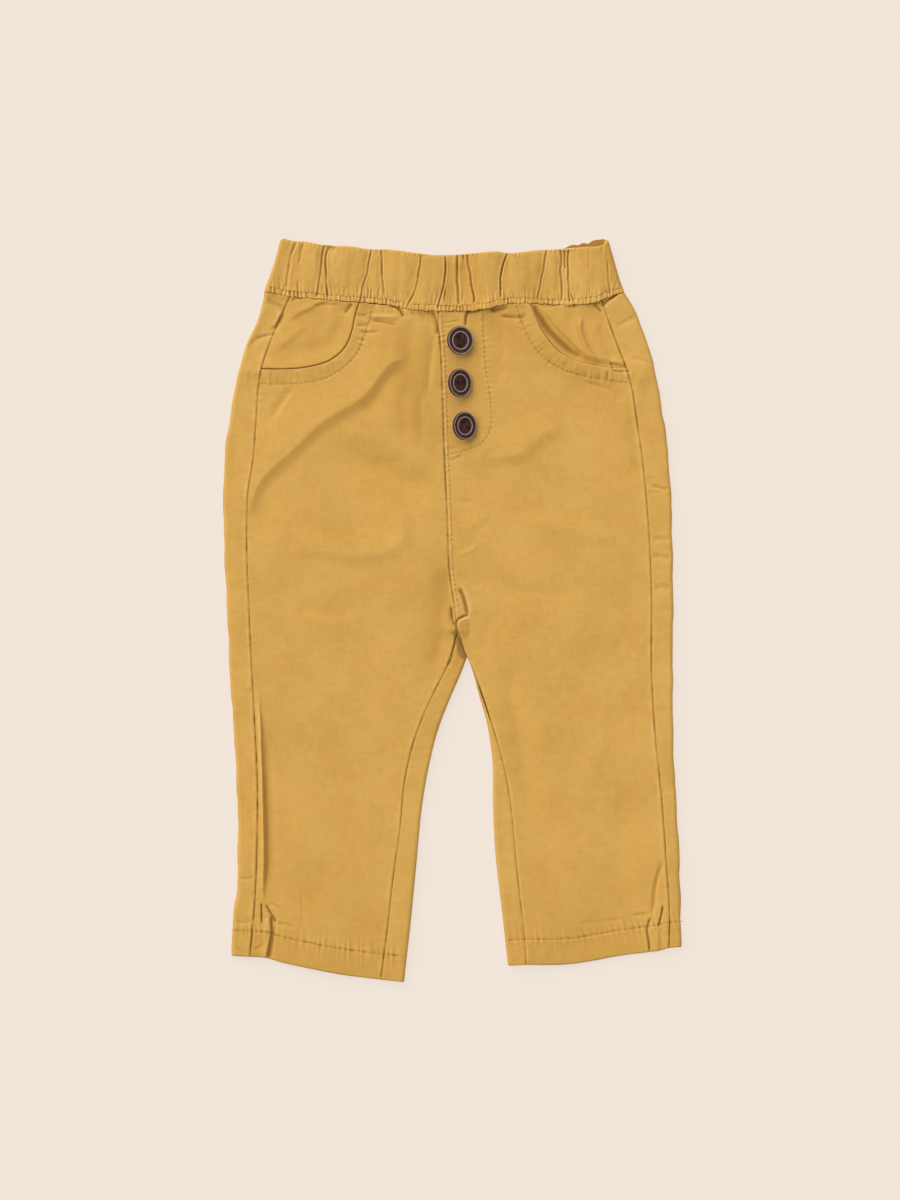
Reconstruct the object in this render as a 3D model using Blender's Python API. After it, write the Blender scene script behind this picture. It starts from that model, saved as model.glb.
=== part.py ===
"""Baby trousers in mustard cotton twill, laid flat with the front up.

X runs across (the wearer's right leg is at -X), Y runs up from the hems to the waist, Z points off
the table. The origin is in the middle of the outline, on the table. Sizes are in millimetres, and
the last step of each piece makes them metres.

Each leg is a flattened tube. The back panel is the wider one: it lies on the table, folds round
both edges of the leg and shows on top as a strip along each seam. The front panel lies between
those seams.
"""
import math
from collections import namedtuple

import bpy
import numpy as np

MM = 0.001

# Driving sizes, in millimetres
CLOTH = 1.2  # wall of the body cloth
HOLLOW = 1.6  # space between the back layer and the front layer
SEAM_GAP = 0.3  # two pieces that are sewn together stand this far apart
TOP = 2 * CLOTH + HOLLOW  # level of the front's outer face
BEND = TOP / 2  # outer radius of the fold at the edge of a leg
HEM_DEPTH = 14.0  # height of the turned-up hem
HEM_EXTRA = 0.5  # the hem's second layer, on the inner side
BAND_CLOTH = 2.0  # the waistband's doubled cloth with its elastic
BAND_HOLLOW = 0.8
BAND_TOP = 2 * BAND_CLOTH + BAND_HOLLOW
MOUTH_RISE = 0.9  # how far the cloth stands up along a pocket opening
MOUTH_SPREAD = 9.0  # and how far from the opening that rise has gone
YOKE_CLOTH = 1.0
YOKE_CLEARANCE = 0.4  # between the yoke and the front panel that lies on it
YOKE_UNDERLAP = 6.0  # the yoke's edge lies this far inside the opening
FLY_RISE = 0.4  # the mock fly's facing lifts the front by this much
FOLD_FADE = 6.0  # folds die out this far from the edge of a leg

ROW_STEP = 8.0  # distance between the rows of a panel
LINE_REACH = 30.0  # a panel's rows ease on to the waistband's seam and the hem over this length
FRONT_COLUMNS = 16
MOUTH_CORNER_SHARE = 0.14  # how far down the inner edge the pocket opening's corner is matched to
YOKE_ROWS = 12
YOKE_EDGE, YOKE_SLOPE = 1.5, 8.0  # the yoke stays low for the first, and comes up over the second
TURN_POINTS = 6  # points of a back panel's section at its inner end
TURN_REACH = 8.0  # they start this far before the inner fold
SIDE_TURN = 95.0  # degrees of the fold that a back panel goes round under a front panel's edge
CROTCH_ROWS = np.array([-17, -9, -4.5, 0, 4, 8, 15, 24])  # distances past the crotch
BAND_ROWS = 5

BUTTON_RADIUS = 7.7
BUTTON_DEPTH = 3.0  # from the face to the back
SHANK_RADIUS = 2.0
SHANK_LENGTH = 3.0
BUTTON_SIDES = 18

Leg = namedtuple("Leg", "sign side_fold side_seam inseam inner_fold mouth hem_bulge")
Fold = namedtuple("Fold", "start middle end height left_width right_width")
Pleat = namedtuple("Pleat", "top bottom depth")
Button = namedtuple("Button", "name across up tilt")

# Seams shared by both legs: (across, up) from the waistband down
CENTRE_FRONT = (
    (-7.6, 161.3), (-6.9, 146), (-5.5, 117), (-4.7, 91), (-2.9, 50), (-1.5, 18), (0.7, 3), (2.3, -11.3),
)
CROTCH = (2.3, -11.3)  # where the rise meets the inseams
FORK = (7.7, -25.3)  # where the two legs part

# Each leg's edges, (across, up) from the waistband to the hem
LEGS = {
    "right": Leg(
        sign=-1,
        side_fold=(
            (-101.3, 170.6), (-104.7, 156), (-111, 143), (-114.9, 130), (-118.7, 110), (-121.9, 91),
            (-123.4, 62), (-123.2, 40), (-121.6, 4), (-119.6, -40), (-117, -78), (-115.6, -125),
            (-116.2, -150), (-118.8, -172), (-118.8, -186),
        ),
        side_seam=(
            (-87.5, 168.8), (-95.6, 150.5), (-100.2, 138.5), (-102.9, 129.5), (-104.4, 120), (-105.8, 100),
            (-107.4, 80), (-110, 63), (-110.7, 42), (-109.2, -5), (-106.8, -54), (-105, -95),
            (-105.2, -125), (-106.5, -158), (-109.2, -187),
        ),
        inseam=(
            CROTCH, (1, -17.5), (-3, -30), (-8.9, -42), (-15.5, -56), (-21, -71), (-25.3, -89),
            (-28.4, -118), (-31.6, -141), (-35.3, -173), (-38.6, -197.5),
        ),
        inner_fold=(
            FORK, (5.2, -32), (0.1, -44), (-7.4, -63), (-12.8, -84), (-16.4, -105), (-19.4, -135),
            (-22.6, -168), (-26.2, -199.3),
        ),
        mouth=(
            (-50.6, 163.8), (-52.3, 158), (-54, 150), (-58.2, 140.5), (-66, 134), (-77, 130.6),
            (-91, 129.3), (-102.9, 129.5),
        ),
        hem_bulge=1.7,
    ),
    "left": Leg(
        sign=1,
        side_fold=(
            (92.5, 170.2), (97.4, 162), (102.3, 149.5), (107.1, 136.5), (110.9, 117), (114.2, 98),
            (116.4, 78), (117.9, 46), (118.5, 15), (118.4, -50), (119, -82), (121.6, -125),
            (122.7, -165), (123.2, -181.5),
        ),
        side_seam=(
            (79.5, 168.2), (83.5, 156.5), (88.8, 142), (93.4, 130), (96.2, 120), (99.2, 101),
            (102.3, 79), (105, 50), (107, 8), (107, -34), (109.2, -70), (112.2, -99), (114.6, -132),
            (116.6, -168), (116.2, -182.5),
        ),
        inseam=(
            CROTCH, (4.5, -17), FORK, (11.2, -33), (14.8, -42), (20.6, -60), (24.9, -74.5),
            (28.9, -91), (31.6, -109), (33.7, -132), (35.8, -152), (38.5, -176), (39.4, -190.5),
        ),
        inner_fold=(
            FORK, (10.4, -32), (14.2, -46), (18.6, -62), (21.2, -80), (21.6, -105), (22.8, -130),
            (26.2, -160), (29.7, -191.4),
        ),
        mouth=(
            (41.8, 163.4), (44.3, 157), (48.7, 149), (56.6, 139.5), (65.2, 134.4), (76, 131.6),
            (85.5, 130.2), (93.4, 130),
        ),
        hem_bulge=2.0,
    ),
}

# The largest folds: a ridge along a curve through three points, gentle on one side and steep on
# the other. left_width is on the left of someone walking from start to end.
FOLDS = (
    # right hip: the long fold from the fly to the side seam, and what it throws off
    Fold((-23, 136), (-66, 104), (-109, 55), 2.0, 6, 17),
    Fold((-72, 93), (-42, 81), (-5, 60), 1.0, 12, 8),
    Fold((-24.5, 160), (-22, 132), (-20, 92), 1.2, 9, 7),
    Fold((-30, 66), (-23, 45), (-34, 31), 0.7, 7, 12),
    Fold((-33, 32), (-58, 23), (-100, 33), 0.9, 8, 14),
    # left hip
    Fold((8, 74), (31, 83), (60, 101), 0.9, 12, 8),
    Fold((9, 45), (27, 51), (76, 37), 0.6, 11, 8),
    Fold((13, 19), (42, 8.5), (96, 14), 0.9, 12, 8),
    Fold((103, 128), (98, 116), (101, 104), 0.7, 7, 7),
    # crotch
    Fold((3, 20), (7.5, 8), (9, -6), 0.7, 8, 7),
    # right leg: the pleat along the side seam, and a slack crease by the knee
    Fold((-104.2, -50), (-102.8, -108), (-103.6, -170), 1.5, 7, 6),
    Fold((-87, -110), (-80, -124), (-69, -139), 0.6, 9, 9),
    Fold((-88, -3), (-66, -6), (-42, -3), 0.4, 9, 9),
    # left leg, at the hem
    Fold((109, -136), (107, -153), (106, -178), 0.8, 7, 7),
)

# The waistband's pleats: where each one's trough meets the top edge and the lower seam
PLEATS = (
    Pleat(-85.0, -90.2, 1.0), Pleat(-80.0, -84.5, 0.6), Pleat(-75.0, -79.5, 0.5),
    Pleat(-69.8, -74.1, 0.9), Pleat(-63.5, -66.0, 0.7), Pleat(-54.0, -58.0, 0.4),
    Pleat(-43.9, -49.3, 0.9), Pleat(-37.5, -35.0, 0.9), Pleat(-29.0, -30.0, 0.4),
    Pleat(-18.5, -26.0, 1.0), Pleat(-11.5, -17.0, 0.5), Pleat(-4.2, -8.5, 0.8),
    Pleat(1.8, 2.6, 1.0), Pleat(7.0, 8.5, 0.9), Pleat(12.5, 14.0, 0.8),
    Pleat(19.5, 19.5, 0.4), Pleat(28.6, 25.4, 1.0), Pleat(37.5, 34.5, 0.5),
    Pleat(50.1, 44.8, 0.7), Pleat(59.3, 57.0, 0.8), Pleat(64.0, 63.5, 0.8),
    Pleat(73.0, 72.5, 0.4), Pleat(81.5, 83.0, 0.6),
)
BAND_PUFF = 0.09  # how much a puff between two pleats rises for each millimetre of its width
BAND_PUFF_MOST = 1.0

# Top edge of the waistband: (across, front layer, back layer)
BAND_EDGE = (
    (-92.3, 200.2, 200.0), (-69, 196.9, 196.2), (-48, 194.6, 193.9), (-26, 193.0, 192.2),
    (-4.7, 191.4, 190.8), (17, 192.8, 192.0), (38, 193.6, 193.0), (60, 195.0, 195.6),
    (71, 194.8, 198.4), (83.6, 195.6, 200.2),
)
BAND_LEFT = ((-101.3, 170.6), (-92.3, 200.2))  # folded ends of the band, from the seam to the top
BAND_RIGHT = ((92.5, 170.2), (83.6, 200.2))
SEAM_LOWEST = (-2.0, 161.3)  # lowest place of the seam below the waistband
SEAM_SAG, SEAM_HALF_WIDTH = 8.6, 92.0  # it hangs this far below its ends, over this half width

# Mock fly: its J-shaped stitch line runs down beside the centre front and turns in to meet it
FLY_EDGE = ((16.3, 162), (17.3, 134), (20.6, 104))
FLY_TURN = 104.0  # where the J starts to curve
FLY_FOOT = 84.0  # where it meets the centre front

BUTTONS = (
    Button("button_top", 4.4, 144.6, 26),
    Button("button_middle", 4.4, 121.8, 38),
    Button("button_bottom", 6.9, 98.8, 36),
)

MUSTARD = (0.645, 0.371, 0.085)
MUSTARD_SHADED = (0.615, 0.345, 0.078)
BROWN = (0.075, 0.036, 0.021)


# ------------------------------------------------------------------------------ curves in plan


def smooth_run(points):
    """A smooth curve through the points, with a point about every millimetre."""
    knots = np.array(points, float)
    chords = np.hypot(*np.diff(knots, axis=0).T)
    along = np.concatenate([[0], np.cumsum(chords)])
    slopes = np.gradient(knots, along, axis=0)
    wanted = np.linspace(0, along[-1], int(along[-1]) + 2)
    i = np.clip(np.searchsorted(along, wanted, side="right") - 1, 0, len(chords) - 1)
    h = chords[i][:, None]
    u = (wanted - along[i])[:, None] / h
    return (
        (1 + 2 * u) * (1 - u) ** 2 * knots[i]
        + u * (1 - u) ** 2 * h * slopes[i]
        + u * u * (3 - 2 * u) * knots[i + 1]
        + u * u * (u - 1) * h * slopes[i + 1]
    )


class Edge:
    """The edge of a piece, in plan: one or more smooth runs, one after another."""

    def __init__(self, *runs):
        self.points = np.concatenate([smooth_run(run) for run in runs])
        steps = np.hypot(*np.diff(self.points, axis=0).T)
        self.along = np.concatenate([[0], np.cumsum(steps)])
        self.length = self.along[-1]

    def at(self, share):
        """Points at these shares of the edge's length."""
        wanted = np.asarray(share) * self.length
        return np.stack([np.interp(wanted, self.along, self.points[:, k]) for k in (0, 1)], -1)

    def across(self, up):
        """Where the edge lies at this height."""
        order = np.argsort(self.points[:, 1])
        return np.interp(up, self.points[order, 1], self.points[order, 0])


def smoothstep(x):
    x = np.clip(x, 0, 1)
    return x * x * (3 - 2 * x)


def beside(curve, x, y):
    """(distance, share) of each point from a curve: distance is positive on the curve's left."""
    tangents = np.gradient(curve, axis=0)
    dx = x[..., None] - curve[:, 0]
    dy = y[..., None] - curve[:, 1]
    nearest = np.argmin(dx * dx + dy * dy, axis=-1)
    dx = np.take_along_axis(dx, nearest[..., None], -1)[..., 0]
    dy = np.take_along_axis(dy, nearest[..., None], -1)[..., 0]
    left = tangents[nearest, 0] * dy - tangents[nearest, 1] * dx >= 0
    return np.where(left, 1, -1) * np.hypot(dx, dy), nearest / (len(curve) - 1)


def three_point_curve(start, middle, end, count=40):
    """A parabola that starts, passes its middle and ends where it is told."""
    t = np.linspace(0, 1, count)[:, None]
    start, middle, end = (np.array(p, float) for p in (start, middle, end))
    pull = 2 * middle - (start + end) / 2
    return (1 - t) ** 2 * start + 2 * t * (1 - t) * pull + t * t * end


EDGES = {
    side: {
        "side_fold": Edge(leg.side_fold),
        "side_seam": Edge(leg.side_seam),
        "inseam": Edge(leg.inseam),
        "inner_fold": Edge(leg.inner_fold),
        "mouth": Edge(leg.mouth),
    }
    for side, leg in LEGS.items()
}
CENTRE = Edge(CENTRE_FRONT)
FORK_LINE = Edge((CROTCH, FORK))


def inner_line(side, up):
    """The inner edge of a leg: the centre seam, then the fork, then the inner fold."""
    edge = np.where(up > CROTCH[1], CENTRE.across(up), FORK_LINE.across(up))
    return np.where(up > FORK[1], edge, EDGES[side]["inner_fold"].across(up))


def band_seam(x):
    """Height of the seam between the waistband and the panels, which sags in the middle."""
    return SEAM_LOWEST[1] + SEAM_SAG * ((x - SEAM_LOWEST[0]) / SEAM_HALF_WIDTH) ** 2


def hem_line(side, x):
    """Height of a leg's lower edge: nearly straight, with a slight bulge."""
    (x0, y0), (x1, y1) = LEGS[side].side_fold[-1], LEGS[side].inner_fold[-1]
    share = (x - x0) / (x1 - x0)
    return y0 + (y1 - y0) * share - LEGS[side].hem_bulge * 4 * share * (1 - share)


# ------------------------------------------------------------------------- relief of the cloth


def fold_relief(x, y):
    """The large folds, as a height over the flat cloth."""
    height = np.zeros_like(x)
    for fold in FOLDS:
        distance, share = beside(three_point_curve(fold.start, fold.middle, fold.end), x, y)
        width = np.where(distance > 0, fold.left_width, fold.right_width)
        swell = 0.5 * (1 + np.cos(math.pi * np.clip(np.abs(distance) / width, 0, 1)))
        ends = smoothstep(share / 0.2) * smoothstep((1 - share) / 0.2)
        height = np.maximum(height, fold.height * swell * ends)
    return height


def fly_relief(x, y):
    """The mock fly stands a little proud inside its J."""
    turn = np.clip((FLY_TURN - y) / (FLY_TURN - FLY_FOOT), 0, 1)
    centre = CENTRE.across(y)
    edge = Edge(FLY_EDGE).across(np.maximum(y, FLY_TURN))
    edge = centre + (edge - centre) * np.sqrt(1 - turn * turn)
    inside = smoothstep((x - centre) / 1.5) * smoothstep((edge - x) / 3)
    return FLY_RISE * inside * (y > FLY_FOOT)


def mouth_relief(x, y):
    """The cloth rises towards the pocket openings, on both sides of them."""
    height = np.zeros_like(x)
    for edges in EDGES.values():
        distance, _ = beside(edges["mouth"].points, x, y)
        height = np.maximum(height, 1 - smoothstep(np.abs(distance) / MOUTH_SPREAD))
    return MOUTH_RISE * height


def to_leg_edge(x, y):
    """Distance in from the nearest folded edge of the trousers."""
    middle = np.where(y > CROTCH[1], CENTRE.across(y), FORK_LINE.across(y))
    room = np.full_like(x, 1e3)
    for side, leg in LEGS.items():
        on_leg = (x - middle) * leg.sign > 0
        outer = (EDGES[side]["side_fold"].across(y) - x) * leg.sign
        inner = np.where(y > CROTCH[1], 1e3, (x - inner_line(side, y)) * leg.sign)
        room = np.where(on_leg, np.minimum(outer, inner), room)
    return np.maximum(room, 0)


def relief(x, y):
    """How far the outer face of the top layer stands over its flat level."""
    rise = fold_relief(x, y) + fly_relief(x, y) + mouth_relief(x, y)
    return rise * smoothstep(to_leg_edge(x, y) / FOLD_FADE)


# --------------------------------------------------------------------------- making of solids


def make_material(name, colour, roughness):
    material = bpy.data.materials.get(name)
    if material is None:
        material = bpy.data.materials.new(name)
        material.use_nodes = True
        shader = material.node_tree.nodes["Principled BSDF"]
        shader.inputs["Base Color"].default_value = (*colour, 1)
        shader.inputs["Roughness"].default_value = roughness
        shader.inputs["Metallic"].default_value = 0.0
    return material


def make_object(name, points, faces, material, smooth_below=35):
    """One closed piece from points in millimetres. Its faces are turned to point outwards."""
    points = np.asarray(points, float) * MM
    volume = 0.0
    for face in faces:
        a = points[face[0]]
        for i in range(1, len(face) - 1):
            volume += np.dot(a, np.cross(points[face[i]], points[face[i + 1]]))
    if volume < 0:
        faces = [tuple(reversed(face)) for face in faces]
    mesh = bpy.data.meshes.new(name)
    mesh.from_pydata([tuple(p) for p in points], [], faces)
    mesh.materials.append(material)
    mesh.shade_smooth()
    mesh.set_sharp_from_angle(angle=math.radians(smooth_below))
    piece = bpy.data.objects.new(name, mesh)
    bpy.context.scene.collection.objects.link(piece)
    return piece


def cloth_wall(name, outer, inner, material, tube=False):
    """A wall between two matching grids of points, rows by columns. A tube's columns close."""
    rows, columns = outer.shape[:2]
    count = rows * columns
    points = np.concatenate([outer.reshape(-1, 3), inner.reshape(-1, 3)])
    last = columns if tube else columns - 1

    def at(layer, row, column):
        return layer * count + row * columns + column % columns

    faces = []
    for row in range(rows - 1):
        for column in range(last):
            ring = [(row, column), (row, column + 1), (row + 1, column + 1), (row + 1, column)]
            faces.append(tuple(at(0, *corner) for corner in ring))
            faces.append(tuple(at(1, *corner) for corner in reversed(ring)))
    for column in range(last):
        for row, (a, b) in ((0, (column + 1, column)), (rows - 1, (column, column + 1))):
            faces.append((at(0, row, a), at(0, row, b), at(1, row, b), at(1, row, a)))
    if not tube:
        for row in range(rows - 1):
            for column, (a, b) in ((0, (row, row + 1)), (columns - 1, (row + 1, row))):
                faces.append((at(0, a, column), at(0, b, column), at(1, b, column), at(1, a, column)))
    return make_object(name, points, faces, material)


class Rungs:
    """The rows of a panel in plan: straight from one edge to the other, but for those near the
    waistband and the hem, which ease on to their lines."""

    def __init__(self, side, start, end):
        self.start, self.end = start, end
        self.lines = (
            (0, lambda x: band_seam(x) - SEAM_GAP / 2),
            (-1, lambda x: hem_line(side, x)),
        )

    def straight(self, row, x):
        x0, y0 = np.moveaxis(self.start[row], -1, 0)
        x1, y1 = np.moveaxis(self.end[row], -1, 0)
        return y0 + (y1 - y0) * (x - x0) / (x1 - x0)

    def height(self, row, x):
        """Height of a row at a place across. row and x are numbers, or arrays that match."""
        plain = self.straight(row, x)
        shift = np.zeros_like(plain)
        for last, line in self.lines:
            end_row = self.straight(np.full_like(row, last), x)
            fade = np.clip(1 - np.abs(plain - end_row) / LINE_REACH, 0, 1)
            shift = shift + (line(x) - end_row) * fade
        return plain + shift

    def meet(self, edge, near, offset):
        """Where each row crosses an edge, moved sideways by offset. near is a first guess."""
        row = np.arange(len(self.start))
        x = near.copy()
        for _ in range(6):
            x = edge.across(self.height(row, x)) + offset
        return x


def panel_rows(length, extra=()):
    """Shares of a panel's length at which its rows lie: even, with the hem's edge and extras."""
    even = np.linspace(0, 1, round(length / ROW_STEP) + 1)
    hem = np.array([length - HEM_DEPTH, length - HEM_DEPTH - 1.5]) / length
    wanted = np.concatenate([hem, np.asarray(extra, float)])
    keep = [s for s in even if s in (0, 1) or np.abs(wanted - s).min() > 0.4 * ROW_STEP / length]
    return np.sort(np.concatenate([keep, wanted]))


def wall_thickness(side, x, y):
    """The cloth, with the hem's second layer at the bottom."""
    over_hem = y - hem_line(side, x)
    return CLOTH + HEM_EXTRA * smoothstep((HEM_DEPTH + 1.2 - over_hem) / 1.2)


# --------------------------------------------------------------------------------- the panels


def front_panel(side):
    """From the waistband to the hem, between the side seam and the centre front or inseam. Its
    upper outer corner is cut away along the pocket opening."""
    leg, edges = LEGS[side], EDGES[side]
    seam = edges["side_seam"].points
    below_mouth = seam[seam[:, 1] < leg.mouth[-1][1]]
    outer = Edge(leg.mouth, below_mouth[::6])
    inner = Edge(CENTRE_FRONT, leg.inseam)
    corner = edges["mouth"].length / outer.length
    rows = panel_rows(outer.length, (corner,))
    # The corner of the pocket opening faces a point lower down the centre front, so that the
    # rows between fan out.
    matched = np.interp(rows, (0, corner, 1), (0, MOUTH_CORNER_SHARE, 1))
    gap = leg.sign * SEAM_GAP / 2
    rungs = Rungs(side, outer.at(rows), inner.at(matched))
    along_mouth = rows <= corner
    seam_x = rungs.meet(edges["side_seam"], rungs.start[:, 0], -gap)
    start_x = np.where(along_mouth, rungs.start[:, 0] - gap, seam_x)
    end_x = rungs.meet(inner, rungs.end[:, 0], gap)
    share = np.linspace(0, 1, FRONT_COLUMNS + 1)
    x = start_x[:, None] * (1 - share) + end_x[:, None] * share
    row = np.broadcast_to(np.arange(len(rows))[:, None], x.shape)
    y = rungs.height(row, x)
    top = TOP + relief(x, y)
    outside = np.stack([x, y, top], -1)
    inside = np.stack([x, y, top - wall_thickness(side, x, y)], -1)
    return cloth_wall(f"front_{side}", outside, inside, make_material("mustard twill", MUSTARD, 0.85))


def back_section(inward, outer_x, seam_x, inner_x, end_turn, strip_x):
    """One section of a back panel, as (across, level, normal across, normal up) of its outer
    face. It runs from the side seam over the outer fold, along the table and round the inner fold,
    as far as end_turn degrees of it, and after half a turn on to the inseam at strip_x."""
    section = []
    outer_centre = outer_x + inward * BEND
    for share in (0.0, 0.5):
        section.append((seam_x + (outer_centre - seam_x) * share, TOP, 0, -1))
    for turn in np.radians((0, 60, 120, 180)):
        s, c = math.sin(turn), math.cos(turn)
        section.append((outer_centre - inward * BEND * s, BEND + BEND * c, inward * s, -c))
    inner_centre = inner_x - inward * BEND
    for share in (0.34, 0.68):
        flat_x = outer_centre + (inner_centre - inward * TURN_REACH - outer_centre) * share
        section.append((flat_x, 0, 0, 1))
    # The last points are spread over what is left: the flat, the fold and the strip on top.
    flat = TURN_REACH + BEND * (1 - smoothstep(end_turn / 45))
    bend = BEND * math.radians(end_turn)
    strip = (inner_centre - strip_x) * inward if end_turn == 180 else 0.0
    inner_centre += inward * (flat - TURN_REACH)
    for share in np.linspace(0, 1, TURN_POINTS):
        along = share * (flat + bend + strip)
        if along <= flat:
            section.append((inner_centre + inward * (along - flat), 0, 0, 1))
        elif along <= flat + bend:
            turn = (along - flat) / BEND
            s, c = math.sin(turn), math.cos(turn)
            section.append((inner_centre + inward * BEND * s, BEND - BEND * c, -inward * s, c))
        else:
            section.append((inner_centre - inward * (along - flat - bend), TOP, 0, -1))
    return section


def inner_turn(width, up):
    """How many degrees of the inner fold a back panel goes round. Above the crotch it lies flat
    under the fronts, and where the inseam is close to the fold the front's edge covers it."""
    if up > CROTCH[1]:
        return float(np.interp(up, (CROTCH[1], CROTCH[1] + 9), (SIDE_TURN, 0)))
    return float(np.interp(width, (0.6 * BEND, 1.15 * BEND), (SIDE_TURN, 180)))


def back_panel(side):
    """From the waistband to the hem, as a flattened tube that is open at the top."""
    leg, edges = LEGS[side], EDGES[side]
    inner = Edge(CENTRE_FRONT, (CROTCH, FORK), leg.inner_fold)
    crotch = CENTRE.length / inner.length
    rows = panel_rows(inner.length, crotch + CROTCH_ROWS / inner.length)
    inward = -leg.sign
    gap = inward * SEAM_GAP / 2
    rungs = Rungs(side, edges["side_fold"].at(rows), inner.at(rows))
    seam_x = rungs.meet(edges["side_seam"], rungs.start[:, 0], -gap)
    strip_x = rungs.meet(Edge(CENTRE_FRONT, leg.inseam), rungs.end[:, 0], gap)
    sections = []
    for (x0, _), (x1, y1), seam, strip in zip(rungs.start, rungs.end, seam_x, strip_x):
        if y1 > FORK[1]:
            x1 -= gap
        turn = inner_turn((x1 - strip) * inward, y1)
        sections.append(back_section(inward, x0, seam, x1, turn, strip))
    x, level, across, upward = np.moveaxis(np.array(sections), -1, 0)
    row = np.broadcast_to(np.arange(len(rows))[:, None], x.shape)
    y = rungs.height(row, x)
    rise = relief(x, y) * (level / TOP) ** 2
    wall = wall_thickness(side, x, y)
    outside = np.stack([x, y, level + rise], -1)
    inside = np.stack([x + across * wall, y, level + rise + upward * wall], -1)
    return cloth_wall(f"back_{side}", outside, inside, make_material("mustard twill", MUSTARD, 0.85))


def pocket_yoke(side):
    """The hip piece inside a pocket opening. It is sewn in along the side seam and the waistband,
    and its other edge lies under the front panel."""
    leg, edges = LEGS[side], EDGES[side]
    seam = edges["side_seam"].points
    above_mouth = seam[seam[:, 1] > leg.mouth[-1][1]]
    mouth = edges["mouth"]
    rows = np.linspace(0, 1, YOKE_ROWS)
    start = Edge(above_mouth[::4]).at(rows)
    start[:, 0] -= leg.sign * SEAM_GAP / 2
    middle = mouth.at(rows)
    tangent = mouth.at(np.minimum(rows + 0.01, 1)) - mouth.at(np.maximum(rows - 0.01, 0))
    tangent /= np.linalg.norm(tangent, axis=1)[:, None]
    underlap = np.stack([tangent[:, 1], -tangent[:, 0]], -1) * leg.sign * YOKE_UNDERLAP
    columns = [start * (1 - share) + middle * share for share in (0.0, 0.3, 0.6, 0.85, 1.0)]
    columns += [middle + underlap * share for share in (0.5, 1.0)]
    plan = np.stack(columns, 1)
    x, y = plan[..., 0], plan[..., 1]
    y[0] = band_seam(x[0]) - SEAM_GAP / 2
    distance, _ = beside(mouth.points, x, y)
    distance *= leg.sign  # positive towards the side seam
    under_front = TOP + relief(x, y) - CLOTH - YOKE_CLEARANCE
    lift = smoothstep((distance - YOKE_EDGE) / YOKE_SLOPE)
    top = under_front + lift * (CLOTH + YOKE_CLEARANCE)
    outside = np.stack([x, y, top], -1)
    inside = np.stack([x, y, top - YOKE_CLOTH], -1)
    material = make_material("mustard twill", MUSTARD, 0.85)
    return cloth_wall(f"pocket_yoke_{side}", outside, inside, material)


# -------------------------------------------------------------------------------- the waistband


def band_columns():
    """(top, bottom, height) of each column across the band's front, from the pleats' troughs and
    the puffs between them."""
    troughs = [Pleat(BAND_LEFT[1][0] + 4, BAND_LEFT[0][0] + 4, 0.0), *PLEATS]
    troughs.append(Pleat(BAND_RIGHT[1][0] - 4, BAND_RIGHT[0][0] - 4, 0.0))
    columns = []
    for a, b in zip(troughs, troughs[1:]):
        width = ((b.top - a.top) + (b.bottom - a.bottom)) / 2
        puff = min(BAND_PUFF_MOST, BAND_PUFF * width)
        columns.append((a.top, a.bottom, -a.depth * 0.8))
        for share in (0.25, 0.75):
            columns.append((
                a.top + (b.top - a.top) * share, a.bottom + (b.bottom - a.bottom) * share, puff,
            ))
    columns.append((troughs[-1].top, troughs[-1].bottom, 0.0))
    return np.array(columns)


def waistband():
    """An elastic casing: one flattened ring, gathered into pleats on the side that shows."""
    bend = BAND_TOP / 2
    edge_x, edge_front, edge_back = np.array(BAND_EDGE).T
    columns = band_columns()
    outside, inside = [], []
    for v in np.linspace(0, 1, BAND_ROWS):
        left = np.array(BAND_LEFT[0]) * (1 - v) + np.array(BAND_LEFT[1]) * v
        right = np.array(BAND_RIGHT[0]) * (1 - v) + np.array(BAND_RIGHT[1]) * v
        ring = []  # across, level, normal across, normal level, rise, share of the back layer

        front_x = columns[:, 1] * (1 - v) + columns[:, 0] * v
        swell = 1 - 0.45 * (2 * v - 1) ** 2
        for x, height in zip(front_x, columns[:, 2]):
            ring.append((x, BAND_TOP, 0, -1, height * swell, 0))
        centre = right[0] - bend
        for turn in (30, 60, 90, 120, 150):
            s, c = math.sin(math.radians(turn)), math.cos(math.radians(turn))
            ring.append((centre + bend * s, bend + bend * c, -s, -c, 0, turn / 180))
        for x in np.linspace(centre, left[0] + bend, 15):
            ring.append((x, 0, 0, 1, 0, 1))
        centre = left[0] + bend
        for turn in (150, 120, 90, 60, 30):
            s, c = math.sin(math.radians(turn)), math.cos(math.radians(turn))
            ring.append((centre - bend * s, bend + bend * c, s, -c, 0, turn / 180))
        x, level, nx, nz, rise, back = np.array(ring).T
        low = band_seam(x) + SEAM_GAP / 2
        high = np.interp(x, edge_x, edge_front) * (1 - back) + np.interp(x, edge_x, edge_back) * back
        y = low * (1 - v) + high * v
        outside.append(np.stack([x, y, level + rise], -1))
        inside.append(np.stack([x + nx * BAND_CLOTH, y, level + nz * BAND_CLOTH], -1))
    material = make_material("mustard twill, gathered", MUSTARD_SHADED, 0.85)
    return cloth_wall("waistband", np.array(outside), np.array(inside), material, tube=True)


# ---------------------------------------------------------------------------------- the buttons


def button_profile():
    """(radius, level) from the middle of the face over the rim to the foot of the shank."""
    face, rim = -0.9, 0.0
    return (
        (0.0, face), (3.3, face), (4.1, -0.45), (5.9, -0.45), (7.0, rim), (7.45, -0.25),
        (BUTTON_RADIUS, -0.9), (7.2, -2.2), (6.2, -BUTTON_DEPTH), (SHANK_RADIUS, -BUTTON_DEPTH),
        (SHANK_RADIUS, -BUTTON_DEPTH - SHANK_LENGTH), (0.0, -BUTTON_DEPTH - SHANK_LENGTH),
    )


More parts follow.
